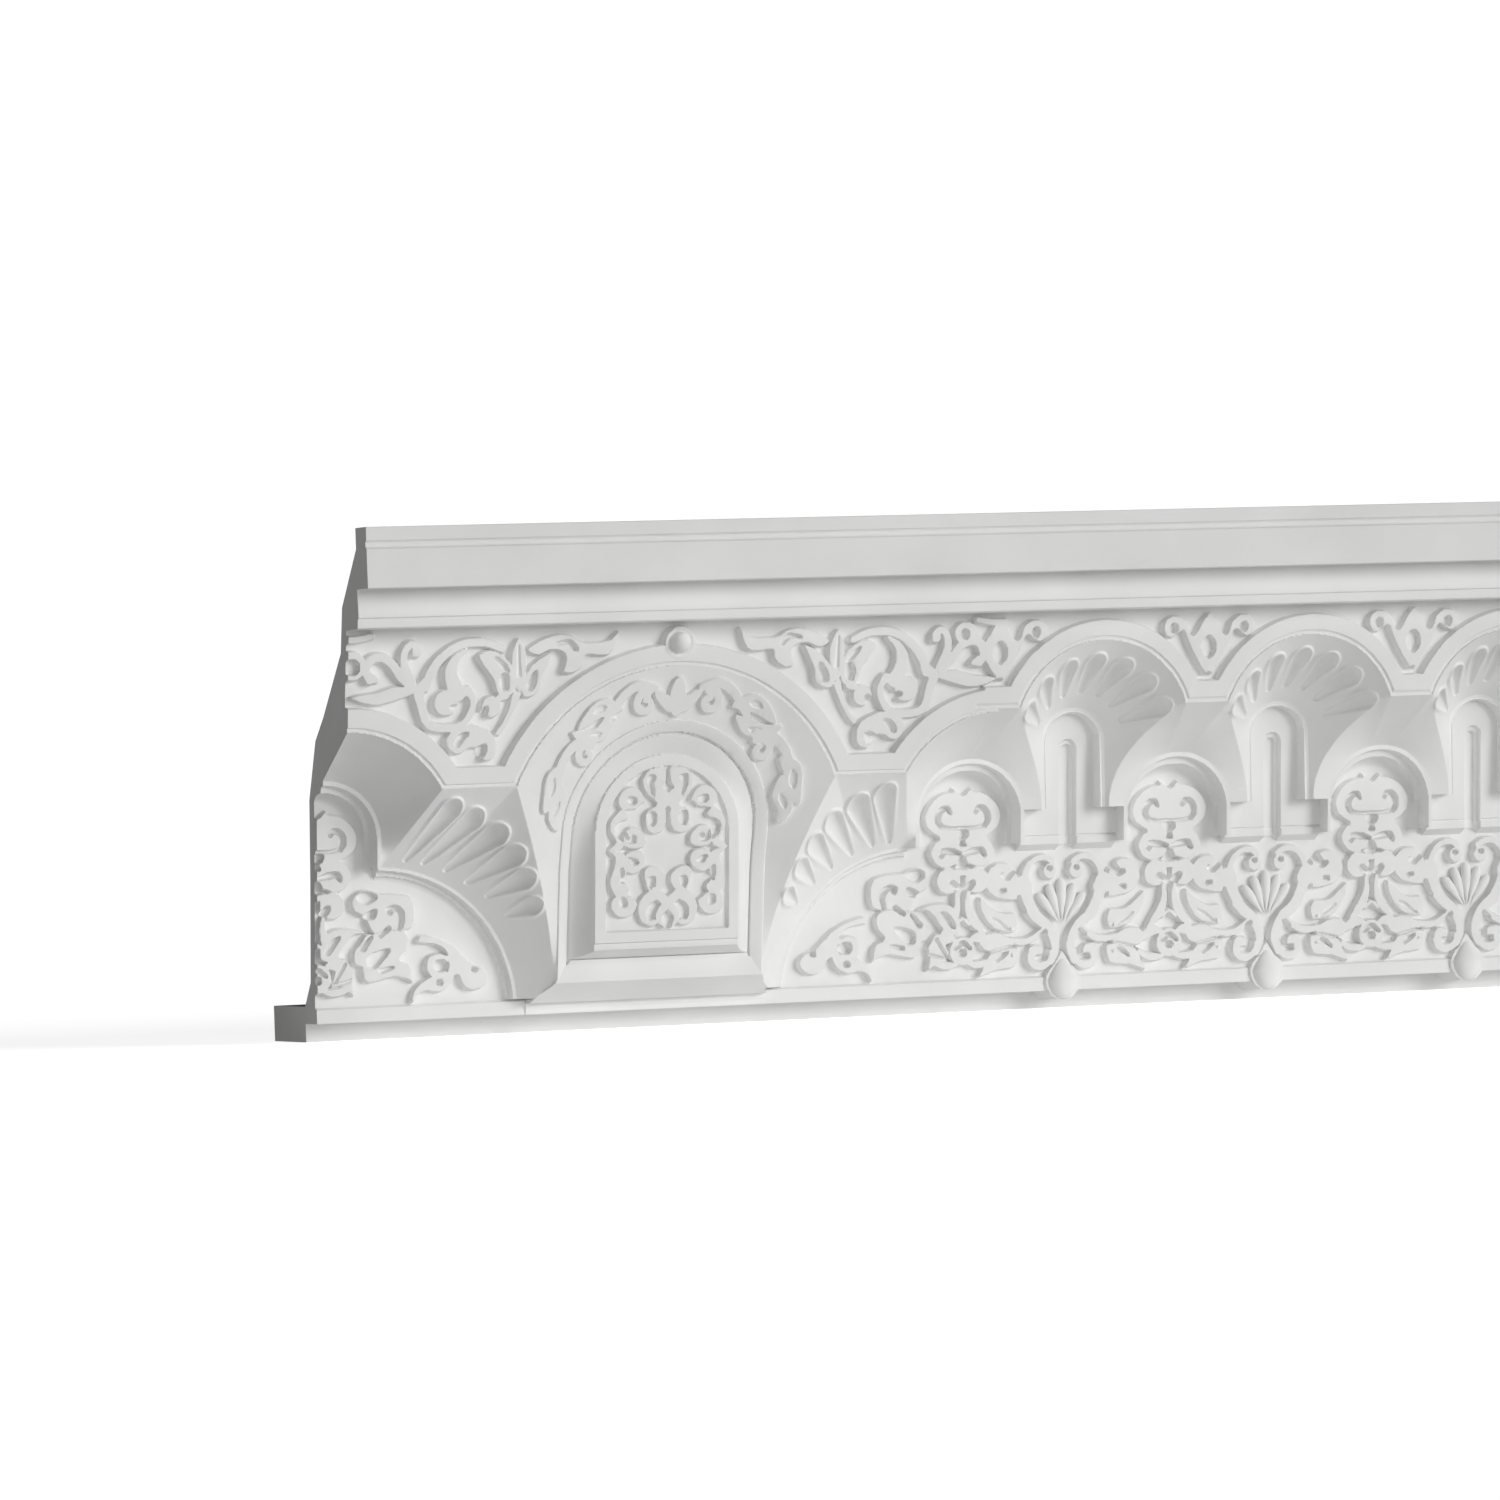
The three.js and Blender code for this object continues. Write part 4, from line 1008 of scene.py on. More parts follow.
def link_marks() -> list[Mark]:
    """The right half of the almond and scroll over a link between two small arches.

    Returns:
        The marks, in the order in which they are carved.
    """
    return [
        plate([(-3.2, 189.4), (0, 188.4), (3.2, 189.3), (6.3, 193.2), (10.9, 200.8), (14, 207), (16.3, 212),
            (18.9, 210.4), (22.5, 208.2), (26.3, 208.8), (28.6, 212.4), (28.4, 217), (24.8, 220.4),
            (20.2, 220.9), (16.3, 219.3), (13.6, 216.6), (12.2, 212), (10.2, 209.5), (7.4, 212.4),
            (4.9, 217), (2.2, 219.8), (-2.2, 219.8)]),
        hollow([(24.2, 213.9), (22.4, 216.4), (19.8, 214.8), (20.2, 211.4), (22.5, 211)], 0),
        hollow([(0, 208.9), (3.2, 206.2), (4.2, 202.2), (3, 198.8), (0, 196.4), (-3, 198.8), (-4.2, 202.2),
            (-3.2, 206.2)]),
    ]


def corner_marks() -> list[Mark]:
    """The scrollwork in the corner between the left quarter arch and the big arch.

    Returns:
        The marks, in the order in which they are carved.
    """
    return [
        stem([(90, 212.5), (80, 216.2), (69, 216.4), (60, 213.2), (52.4, 207), (47.6, 200), (45, 193)], 5,
            5.6, 5.8, 6.2, 6.6, 6.4),
        stem([(46, 196), (41, 191), (42.4, 185), (46.4, 173.4), (55.9, 170.4), (66.5, 172), (72, 179),
            (72.8, 185.5), (70, 191)], 7, 7.2, 6.2, 5.6, 5.2, 5, 5.4),
        stem([(57, 184.2), (57.3, 184.2)], 15, 15),
        stem([(57, 190), (63, 190.4), (70, 190)], 3, 7, 6),
        groove([(61, 181.6), (63.4, 181), (64.6, 177.4), (60.4, 174.6)], 2.4, 3.4, 3, 2, level=0),
        stem([(64, 189.5), (60.6, 196.2), (60, 203), (63.2, 208.8), (69, 213)], 10.5, 9.4, 8, 5.6, 2),
        plate([(82, 212.4), (89.7, 209.8), (95.6, 203.9), (98.2, 194.7), (96.6, 188.5), (91.3, 185.6),
            (86.8, 188.5), (84, 196.2), (78.4, 203.5), (75.4, 209.8)]),
        hollow([(85.4, 208.4), (91, 205), (93.8, 200.4), (91.2, 201), (87.4, 204.6)], 0.4),
        hollow([(93.6, 197.4), (90.4, 199.4), (88.4, 194.9), (90, 190.4), (93.2, 190.4)]),
        plate([(99, 218.6), (94.6, 209.5), (95.4, 201), (98, 190), (101.4, 190), (104.4, 201),
            (104, 210.5)]),
        groove([(99, 214), (99.6, 198)], 1, 2.2, level=0.72),
        plate([(119.7, 210.5), (112, 207.6), (105.9, 202.6), (102, 196.2), (100.5, 190), (102.8, 185.8),
            (108.2, 186.4), (112.6, 190), (113.6, 196.2), (116.8, 203.4)]),
        hollow([(110, 200.4), (106.5, 197), (104.3, 191.5), (106.7, 189.3), (109.4, 193.4)]),
        stem([(99, 189), (96, 180), (91.6, 171.5), (88, 167)], 6, 4.4, 4, 4, level=0.8),
        stem([(83.6, 181.4), (83.8, 181.4)], 12.4, 12.4),
        stem([(88, 186), (92, 187.5)], 5, 6),
        groove([(79.4, 177.4), (80.6, 180.4)], 3.6, 2.6, level=0),
        plate([(85.1, 166.8), (77.4, 171), (69.7, 172.4), (62, 169.8), (57.4, 165.5), (58, 160),
            (62.4, 155.8), (67, 156.4), (71, 159), (75.4, 158.6), (77, 154.6), (80.5, 151.5), (85.9, 153.4),
            (87.6, 160)]),
        hollow([(81.4, 160.2), (77.6, 160.4), (74.6, 157.6), (77, 154.4), (80, 154.8)], 0.1),
        hollow([(70.5, 167.4), (66, 166.8), (62.6, 162.4), (64.4, 160), (67.6, 163.5)], 0.2),
        stem([(37, 195.5), (32.6, 205.5), (32.6, 212.2), (36.4, 216.6), (40.2, 213.6)], 6.5, 6, 5.4, 5.2,
            5.6),
        stem([(39.4, 212.2), (39.6, 212.2)], 6.6, 6.6),
        *leaf([(39, 191), (27, 190), (16, 187.4), (2, 188.4)], 8.5, 0),
        stem([(12.6, 197.5), (10.4, 203), (13, 208.6), (19, 209.8), (25, 206.6), (29.6, 200.5), (36, 194.5)],
            5.6, 6.4, 6.2, 6, 6.6),
        stem([(13.6, 198.6), (17, 197.6)], 6.6, 3.6),
        stem([(2, 205.6), (2.2, 205.6)], 17, 17),
        eye(2, 204.8, 4.2, 0),
        stem([(14, 221.6), (6, 220), (-3, 219.6)], 4, 5),
        plate([(104, 212), (112, 217.4), (122, 220), (130, 219), (136.5, 215.6), (146, 215.2), (153, 216.4),
            (158, 219.4), (156, 212), (152, 207.6), (146, 207.4), (139, 208), (138, 203), (134, 199.4),
            (129, 197.8), (125.2, 199.4), (126.4, 203.4), (126.6, 208), (122.6, 210.8), (117, 211),
            (110, 208.4)]),
        groove([(121.6, 214.6), (128.6, 215.4), (132.6, 211.8)], 1.4, 2.6, 2.6, level=0.2),
        stem([(158, 220), (153, 214)], 2, 3),
    ]


def panel_marks() -> list[Mark]:
    """The right half of the panel's interlaced scrolls, about the big niche's middle.

    Returns:
        The marks, in the order in which they are carved.
    """
    return [
        plate([(0.9, 144.6), (5.8, 145.4), (11.5, 143.9), (15.4, 139.3), (14.7, 133.6), (11.5, 129.3),
            (7.9, 126.4), (5.8, 123.6), (3.6, 125.7), (1.5, 128.6), (2.9, 133.6), (1.1, 137.1)]),
        hollow([(7.4, 140.2), (11, 140.9), (12, 137.1), (10.6, 132.9), (8.3, 129.3), (8.4, 133.6),
            (8.6, 136.8)]),
        stem([(-4.5, 131.5), (0, 127.5), (5, 122.8)], 6, 6.4, 6),
        plate([(1, 121.8), (5.8, 123.6), (10.8, 122.5), (13.6, 120), (14, 115), (12.2, 110), (7.9, 108.2),
            (2.9, 110), (1, 114.3)]),
        hollow([(7.8, 120), (10.8, 120.7), (11.8, 117.1), (10.4, 112.9), (8, 113.6), (6.6, 117.1)]),
        plate([(12.9, 126.4), (15, 130.7), (18.6, 134.3), (22.9, 135), (27.2, 132.9), (30, 128.6),
            (29.7, 125), (27.2, 122.1), (22.9, 122.1), (18.6, 122.5), (15.7, 125)]),
        hollow([(18.6, 128.2), (22.9, 129.3), (24.3, 127.1), (22.2, 125), (19.3, 125.4)]),
        plate([(22.9, 119.5), (27.2, 122.8), (31.5, 120), (34.7, 115.7), (35, 111.4), (32.9, 107.1),
            (31.5, 104.3), (35.6, 101), (35.6, 99.3), (31.5, 99), (27.2, 100.4), (25.7, 103.6),
            (27.9, 105.7), (30.7, 108.6), (31.1, 112.9), (28.6, 115.4), (24.3, 116.6)]),
        plate([(12.9, 106.4), (14.3, 109.3), (17.9, 112.1), (22.2, 112.9), (25, 111.4), (26.6, 108.6),
            (27, 104.3), (24.8, 101), (20, 100.2), (15.7, 100.7), (12.9, 102.9)]),
        hollow([(19, 107.1), (21.1, 107.9), (22.5, 105.7), (24, 107.6), (25.6, 110), (25.4, 105.7),
            (22.9, 103.8), (19.7, 103.8)]),
        plate([(12.9, 95), (15, 98.6), (18.6, 99.7), (22.9, 99.4), (25.9, 97.5), (27.4, 92.9), (25.9, 89),
            (22.2, 86.4), (17.9, 87.1), (13.6, 90.7)]),
        hollow([(17.2, 92.9), (20, 95), (23.6, 95.7), (22.2, 92.9), (20, 91.4)]),
        plate([(25.4, 97.1), (30, 99.6), (35.6, 99.6), (31.8, 95.7), (32.6, 90.7), (34.4, 85.7),
            (34.9, 81.4), (33.2, 76.4), (30, 73.6), (25.7, 74), (22.5, 77.9), (24.3, 81.4), (27, 83.6),
            (24.3, 87.1)]),
        hollow([(26.4, 89), (28.4, 89.3), (27.9, 82.9), (26.3, 82.1)]),
        plate([(20, 72.9), (23.6, 75.3), (29.3, 75.6), (33.6, 72.9), (34.3, 67.9), (31.5, 64), (26.5, 62.3),
            (21.5, 63.6), (18.6, 67.1), (17.9, 70.7)]),
        hollow([(25.7, 73.6), (28.2, 73.2), (28.2, 69.3), (25, 68.4), (24.5, 71.4)]),
        plate([(1.2, 85.7), (5, 89.2), (10, 90.8), (13.8, 89.3), (14.8, 85.7), (13.6, 81.4), (12.6, 77.9),
            (10, 75.5), (5.7, 76.2), (2, 79.3), (0.9, 82.9)]),
        hollow([(7.8, 84.3), (10.7, 84.6), (11.6, 81.4), (10, 77.9), (8.2, 77.9), (7.8, 81.4)]),
        plate([(9.3, 77.4), (14.3, 75.3), (17.4, 70.7), (18.1, 65.7), (16.7, 60.7), (12.9, 57.7),
            (8.6, 56.9), (5.7, 59), (7.6, 61.2), (11, 60.9), (12.3, 64.3), (11.6, 67.9), (8.6, 70.5),
            (4.3, 72.9)]),
        stem([(-7.5, 76.5), (-1, 70.5), (4, 65.5), (5.2, 61), (2.6, 57)], 6.4, 6.4, 5.6, 4.6, 2),
    ]


def garland_marks() -> list[Mark]:
    """The right half of the soffit's garland over the big niche, about its middle.

    Returns:
        The marks, in the order in which they are carved.
    """
    return [
        *leaf([(0, 174), (0, 184), (0, 194)], 11, 0.4),
        *leaf([(3, 176), (8, 182), (14, 187)], 7.5, 0),
        volute(19, 180.5, 9.6, 100, -380, 6),
        stem([(14, 188.5), (24, 190.5), (33, 185), (39, 176), (46, 167)], 5, 6.4, 5.6, 4),
        *leaf([(33, 178), (43, 179), (50, 176), (59, 167)], 10.5, 0.35),
        *leaf([(36, 172), (44, 165), (53, 163), (63, 165.5)], 9, 0.35),
        volute(52, 153, 9.2, 120, -380, 5.6),
        stem([(48, 162), (58, 160), (66, 152), (70, 142)], 4.6, 6.8, 6.2, 5),
        *leaf([(64, 148), (71, 141), (72.5, 131), (76, 122)], 11, 0.35),
        *leaf([(66, 138), (66, 128), (69, 120), (66, 112)], 10, 0.3),
    ]


@dataclass
class CastFront:
    """The whole carved face, as depths over a fine net of columns and rows."""

    pitch: float = 0.62
    fine_foot: float = 6.0
    lower: LowerNiches = field(default_factory=LowerNiches)
    upper: UpperNiches = field(default_factory=UpperNiches)
    big: BigNiche = field(default_factory=BigNiche)
    fans: Fans = field(default_factory=Fans)
    relief_rise: float = 4.2
    panel_rise: float = 3.0
    garland_rise: float = 2.6
    frieze_lean: float = -2.2
    ribbon_rise: float = 5.0
    quarter_ribbon: float = 77.5
    big_ribbon: float = 114.8
    small_ribbon: float = 66.0
    link_ribbon: float = 149.0
    ribbon_edge: float = 1.3
    foot_depth: float = 52.0
    band_depth: float = 71.0
    frieze_foot_depth: float = 68.5
    shield_z: float = 15.5
    shield_radius: float = 11.4
    shield_rise: float = 20.6
    boss_z: float = 213.5
    boss_reach: float = 11.0
    boss_ring: float = 9.6
    boss_ball: float = 5.7
    boss_dimple: float = 6.4

    def columns(self) -> Field:
        """Places of the net's columns along the wall."""
        return np.linspace(0.0, PATTERN.length, int(PATTERN.length / self.pitch) + 1)

    def rows(self) -> Field:
        """Heights of the net's rows between the foot and the crown, doubled where the face steps.

        Returns:
            Heights, from low to high.
        """
        count = int((LEVELS.upper_top - self.fine_foot) / self.pitch)
        even = np.linspace(self.fine_foot, LEVELS.upper_top, count)
        steps = [
            LEVELS.foot,
            LEVELS.band_top,
            LEVELS.frieze_top,
            LEVELS.sill_foot,
            self.lower.fillet_foot,
            LEVELS.plate_foot,
            LEVELS.pier_foot,
            self.big.flare_foot,
            self.big.flare_foot - 3.0,
            self.big.base_foot,
            self.big.base_top,
            self.big.frame_foot,
        ]
        pairs = np.array([level + side * 0.03 for level in steps for side in (-1.0, 1.0)])
        near = np.min(np.abs(even[:, None] - np.array(steps)[None, :]), axis=1) < 0.3
        return np.sort(np.concatenate([even[~near], pairs]))

    def crown(self) -> list[Point]:
        """The section above the frieze, as (depth, z), up to the ceiling.

        Returns:
            The section's points.
        """
        step = [(157.4, 225.3), (158.4, 225.9), (159.2, 230.6), (160.2, 231.3)]
        band = [(160.4, 232.0), (159.7, 246.2), (160.0, 246.7)]
        middle = [(176.4, 246.7), (176.8, 247.1), (176.8, 267.8), (176.5, 268.2), (175.4, 268.9)]
        top = [(174.9, 270.2), (175.2, 271.5), (176.2, 272.4), (176.5, 272.7), (176.8, 279.6), (176.5, 280.0)]
        return [(152.0, 225.3), *step, *band, *middle, *top]

    def depth(self, x: Field, z: Field) -> Field:
        """Depth of the whole face, carving included.

        Args:
            x: Places along the wall, one column each.
            z: Heights, one row each.

        Returns:
            Depths out from the wall.
        """
        ribbon = self.ribbon_mask(x, z)
        ground = ribbon_face(z) - self.ribbon_rise
        depth = ground + self.ribbon_rise * ribbon
        depth = depth - 1.1 * self.inner_fillet(x, z)
        left = x <= PATTERN.big_centre * 2
        mirror = np.where(x > PATTERN.big_centre, 2 * PATTERN.big_centre - x, x)
        depth = np.where(left, self.left_half(mirror, z, depth), self.arcade(x, z, depth))
        depth = self.carve_upper(x, z, depth, ribbon)
        depth = self.carve_lower(x, z, depth)
        out = x - PATTERN.big_centre
        depth = np.where(np.abs(out) < self.big.flare_half + 8.0, self.dress_big(out, z, depth), depth)
        return self.foot(x, z, depth)

    def ribbon_mask(self, x: Field, z: Field) -> Field:
        """1 on the ribbon's plates and their inside, 0 on the ground, with soft edges.

        Args:
            x: Places along the wall.
            z: Heights.

        Returns:
            A share for each spot.
        """
        big, end = PATTERN.big_centre, 2 * PATTERN.big_centre
        inside = [self.quarter_ribbon - np.hypot(x - side, z - QUARTER_CENTRE) for side in (0.0, end)]
        inside.append(self.big_ribbon - np.hypot(x - big, z - self.big.arch_centre))
        link = self.link_ribbon - z
        near_link = (np.abs(x - big) > 90.0) & (np.abs(x - big) < 150.0)
        inside.append(np.where(near_link, link, -9.0))
        for middle in PATTERN.upper_niches:
            inside.append(self.small_ribbon - np.hypot(x - middle, z - self.upper.arch_centre))
        for middle in PATTERN.lower_niches[1:]:
            half = np.interp(z, [LEVELS.link, LEVELS.link + 12.0], [13.25, 6.0])
            side = np.minimum(half + 3.0 - np.abs(x - middle), LEVELS.link + 12.0 - z)
            inside.append(side)
        return smooth_step(np.maximum.reduce(inside) / self.ribbon_edge + 0.5)

    def inner_fillet(self, x: Field, z: Field) -> Field:
        """1 on the narrow fillet along the ribbon's inner edge.

        Args:
            x: Places along the wall.
            z: Heights.

        Returns:
            A share for each spot.
        """
        big, end = PATTERN.big_centre, 2 * PATTERN.big_centre
        away = [np.hypot(x - side, z - QUARTER_CENTRE) - QUARTER_RADIUS for side in (0.0, end)]
        away.append(np.hypot(x - big, z - self.big.arch_centre) - self.big.arch_radius)
        for middle in PATTERN.upper_niches:
            away.append(np.hypot(x - middle, z - self.upper.arch_centre) - self.upper.arch_radius)
        least = np.minimum.reduce([np.where(one < 0, 99.0, one) for one in away])
        on_link = np.where((x < end) & (z < 140.5), np.abs(z - BIG_LINK), 99.0)
        on_link = np.where((x > end - 14.0) & (z > LEVELS.link) & (z < 175.0), z - LEVELS.link, on_link)
        least = np.minimum(least, on_link)
        return smooth_step((2.0 - least) / 0.8 + 0.5)

    def left_half(self, x: Field, z: Field, depth: Field) -> Field:
        """Depth between the left end and the big niche's middle, before carving.

        Args:
            x: Places along the wall.
            z: Heights.
            depth: The depths so far.

        Returns:
            The depths with it.
        """
        big_out = PATTERN.big_centre - x
        above = z >= BIG_LINK
        in_big = np.where(
            above,
            np.hypot(big_out, z - self.big.arch_centre) < self.big.arch_radius,
            big_out < FAN_EDGE.out_at(z),
        )
        line = self.lower.fan_line(z)
        in_quarter = np.where(
            above,
            np.hypot(x, z - QUARTER_CENTRE) < QUARTER_RADIUS,
            (x < line) & (z > self.lower.fan_start[2]),
        )
        in_fan = ~above & ~in_big & ~in_quarter
        quarter = self.lower.quarter.face(x, z, rim_depth)
        depth = np.where(in_quarter, quarter, depth)
        fan_zone = (x < 150.0) & in_fan
        fan = np.full_like(x, 90.0)
        fan[fan_zone] = self.fans.face(x[fan_zone], z[fan_zone])
        depth = np.where(in_fan, fan + self.lobes(x, z) * in_fan, depth)
        around = np.hypot(x - self.fans.centre[0], z - self.fans.centre[1])
        spandrel = (in_fan & (around < self.fans.radius)) | (~in_quarter & (x < 36.0) & (z < 96.0))
        depth = np.where(spandrel, self.fans.spandrel(x, z), depth)
        depth = np.where((x < self.fans.centre[0]) & (z < self.lower.fillet_foot), lower_ground(z), depth)
        depth = np.where(in_big, self.big.niche(big_out, z), depth)
        return self.rim(x, z, depth)

    def rim(self, out: Field, z: Field, depth: Field) -> Field:
        """Sets a lower niche's fillets and tympanum into a depth.

        Args:
            out: Distances out from the niche's middle.
            z: Heights.
            depth: The depths so far.

        Returns:
            The depths with it.
        """
        across = from_middle(out, z, self.lower.spring)
        inside = (across < self.lower.radius) & (z > self.lower.fillet_foot)
        depth = np.where(inside, self.lower.tympanum(out, z), depth)
        below = (across < self.lower.radius + 0.5) & (z <= self.lower.fillet_foot)
        return np.where(below, lower_ground(z), depth)

    def lobes(self, x: Field, z: Field) -> Field:
        """Extra depth of the fan's lobes: a raised rim round a round-bottomed channel.

        Args:
            x: Places along the wall.
            z: Heights.

        Returns:
            What is added to the depths.
        """
        tops = [(67.8, 131.0), (83.0, 124.5), (97.0, 114.5), (107.0, 101.5), (113.5, 87.5), (118.6, 71.5)]
        feet = [(49.0, 99.0), (59.5, 97.5), (72.5, 93.0), (85.0, 85.5), (96.5, 77.5), (107.5, 66.5)]
        wide = [5.5, 5.7, 5.9, 5.7, 5.2, 4.5]
        extra = np.zeros_like(x)
        for top, foot, half in zip(tops, feet, wide):
            end = (top[0] + (foot[0] - top[0]) * 0.18, top[1] + (foot[1] - top[1]) * 0.18)
            away, share = segment_distance(x, z, end, foot)
            reach = half * (1.0 - 0.72 * share)
            rim_half = 1.1
            ratio = np.clip(away / np.maximum(reach, 0.1), 0.0, 1.0)
            channel = -3.4 * (1.0 - 0.5 * share) * np.sqrt(np.maximum(1.0 - ratio**2, 0.0))
            ridge = 2.3 * (1.0 - share) * np.exp(-(((away - reach - rim_half) / rim_half) ** 2))
            here = np.where(away < reach, channel + 0.4 * ridge, ridge)
            extra = np.where(np.abs(here) > np.abs(extra), here, extra)
        return extra

    def flutes(self, out: Field, z: Field) -> Field:
        """Extra depth of a shell's flutes, wider and rounded at their outer ends.

        Args:
            out: Distances out from the niche's middle.
            z: Heights.

        Returns:
            What is added to the depths.
        """
        extra = np.zeros_like(out)
        for i in range(7):
            angle = math.radians(-66.0 + 22.0 * i)
            foot = (29.0 * math.sin(angle), self.upper.spring + 29.0 * math.cos(angle))
            top = (43.0 * math.sin(angle), self.upper.spring + 43.0 * math.cos(angle))
            away, share = segment_distance(out, z, foot, top)
            reach = 2.0 + 2.8 * share
            ratio = np.clip(away / reach, 0.0, 1.0)
            channel = -4.2 * np.sqrt(np.maximum(1.0 - ratio**2, 0.0)) * (0.5 + 0.5 * share)
            ridge = 2.2 * share**2 * np.exp(-(((away - reach - 1.2) / 1.1) ** 2))
            here = np.where(away < reach, channel, ridge)
            extra = np.where(np.abs(here) > np.abs(extra), here, extra)
        return extra

    def arcade(self, x: Field, z: Field, depth: Field) -> Field:
        """Depth of the arcade, right of the big niche's bay, before carving.

        Args:
            x: Places along the wall.
            z: Heights.
            depth: The depths so far.

        Returns:
            The depths with it.
        """
        plate = lower_ground(z) + 5.0
        groove_line = 0.9 * np.exp(-(((z - LEVELS.plate_foot - 0.5) / 0.5) ** 2))
        sill = np.where(z < LEVELS.plate_foot, 0.8, 0.0) - groove_line
        under = np.clip((z - LEVELS.frieze_top) / (LEVELS.sill_foot - LEVELS.frieze_top), 0.0, 1.0)
        low = np.where(z > LEVELS.sill_foot, plate + sill, lower_ground(z) + 5.8 * under)
        low = np.where(z < LEVELS.frieze_top, lower_ground(z), low)
        depth = np.where(z < LEVELS.pier_foot, low, depth)
        zone = (z >= LEVELS.pier_foot) & (z < LEVELS.link)
        for middle in PATTERN.lower_niches[1:]:
            out = x - middle
            near = np.abs(out) < PATTERN.bay / 2
            vault = self.lower.pier.face(out, z, rim_depth)
            inside = near & zone & (np.abs(out) < PIER_EDGE.out_at(z))
            depth = np.where(inside, vault, depth)
            depth = np.where(near, self.rim(out, z, depth), depth)
        for middle in PATTERN.upper_niches:
            out = x - middle
            near = np.abs(out) < PATTERN.bay / 2
            between = near & zone & (np.abs(out) <= PATTERN.bay / 2 - PIER_EDGE.out_at(z))
            arched = (z >= LEVELS.link) & (np.hypot(out, z - self.upper.arch_centre) < self.upper.arch_radius)
            depth = np.where(between | arched, self.upper.vault(out, z) + self.flutes(out, z), depth)
            across = from_middle(out, z, self.upper.spring)
            framed = (across < self.upper.radius) & (z >= LEVELS.pier_foot)
            depth = np.where(framed, self.upper.frame(out, z), depth)
            depth = np.where(np.abs(out) < 8.0, self.upper.slot_cut(out, z, depth), depth)
        return depth

    def carve_upper(self, x: Field, z: Field, depth: Field, ribbon: Field) -> Field:
        """Raises the scrollwork of the upper frieze from its ground.

        Args:
            x: Places along the wall.
            z: Heights.
            depth: The depths so far.
            ribbon: 1 on the ribbon's plates, 0 on the ground.

        Returns:
            The depths with it.
        """
        relief = Relief(x, z, np.zeros_like(x))
        carve_pair(relief, corner_marks(), 0.0, 2 * PATTERN.big_centre)
        for middle in PATTERN.lower_niches[1:]:
            carve_pair(relief, link_marks(), middle, middle)
        free = (1.0 - ribbon) * (z > self.link_ribbon)
        return depth + self.relief_rise * relief.height * free

    def carve_lower(self, x: Field, z: Field, depth: Field) -> Field:
        """Raises the scrollwork of the lower frieze, the tympana and the flat spandrels.

        Args:
            x: Places along the wall.
            z: Heights.
            depth: The depths so far.

        Returns:
            The depths with it.
        """
        relief = Relief(x, z, np.zeros_like(x))
        for middle in PATTERN.upper_niches:
            carve_pair(relief, frieze_marks(), middle, middle, self.frieze_lean)
        for middle in PATTERN.lower_niches:
            carve_pair(relief, niche_marks(), middle, middle)
        carve_pair(relief, spandrel_marks(), 0.0, 2 * PATTERN.big_centre)
        top = lower_ground(z) + self.relief_rise
        raised = np.maximum(depth, lower_ground(z) + self.relief_rise * relief.height)
        free = (z > LEVELS.frieze_foot) & (z < 132.0) & (depth < top)
        return np.where(free, raised, depth)

    def dress_big(self, out: Field, z: Field, depth: Field) -> Field:
        """Adds the base, the panel's scrolls and the soffit's garland to the big niche.

        Args:
            out: Distances out from the niche's middle.
            z: Heights.
            depth: The depths so far.

        Returns:
            The depths with it.
        """
        x = out + PATTERN.big_centre
        panel = Relief(x, z, np.zeros_like(x), 1.0)
        carve_pair(panel, panel_marks(), PATTERN.big_centre, PATTERN.big_centre)
        across = from_middle(out, z, self.big.spring)
        field_zone = (across < self.big.frame_inner) & (z > self.big.field_foot)
        depth = depth + self.panel_rise * panel.height * field_zone
        garland = Relief(x, z, np.zeros_like(x), 1.0)
        carve_pair(garland, garland_marks(), PATTERN.big_centre, PATTERN.big_centre)
        under_arch = np.hypot(out, z - self.big.arch_centre) < self.big.arch_radius - 2.0
        soffit = (across > self.big.flange) & under_arch
        depth = depth + self.garland_rise * garland.height * soffit
        return np.where(z < 50.0, self.big.base(out, z, depth), depth)

    def foot(self, x: Field, z: Field, depth: Field) -> Field:
        """Adds the band and the foot under the frieze, with the drops' shields and the boss.

        Args:
            x: Places along the wall.
            z: Heights.
            depth: The depths so far.

        Returns:
            The depths with it.
        """
        chamfer = np.clip((z - LEVELS.band_top) / (LEVELS.frieze_foot - LEVELS.band_top), 0.0, 1.0)
        band = self.band_depth + (self.frieze_foot_depth - self.band_depth) * chamfer
        low = np.where(z < LEVELS.foot, self.foot_depth, band)
        flare_half, _ = self.big.flare(z)
        in_base = (np.abs(x - PATTERN.big_centre) < flare_half) & (z > LEVELS.foot)
        low = np.where(in_base, np.maximum(low, depth), low)
        depth = np.where(z < LEVELS.frieze_foot, low, depth)
        for middle in PATTERN.upper_niches:
            at = middle + self.frieze_lean
            away = np.hypot(x - at, z - self.shield_z)
            tip, _ = segment_distance(x, z, (at, 16.0), (at, 33.0))
            narrowed = self.shield_radius - 0.62 * np.clip(z - 16.0, 0.0, 18.0)
            shield = np.minimum(away - self.shield_radius, tip - narrowed)
            raised = smooth_step(-shield / 1.2 + 0.5)
            face = self.foot_depth + self.shield_rise * raised
            depth = np.maximum(depth, np.where(raised > 0, face, 0.0))
        away = np.hypot(x - PATTERN.big_centre, z - self.boss_z)
        ground = ribbon_face(z) - self.ribbon_rise
        ring = smooth_step((self.boss_ring - away) / 1.2 + 0.3)
        depth = np.where(away < self.boss_reach, np.maximum(depth, ground + 5.4 * ring), depth)
        ball = np.sqrt(np.maximum(self.boss_ball**2 - away**2, 0.0))
        dimple = 0.9 * np.exp(-(((away - self.boss_dimple) / 0.8) ** 2))
        return np.where(away < self.boss_reach, depth - dimple + ball, depth)


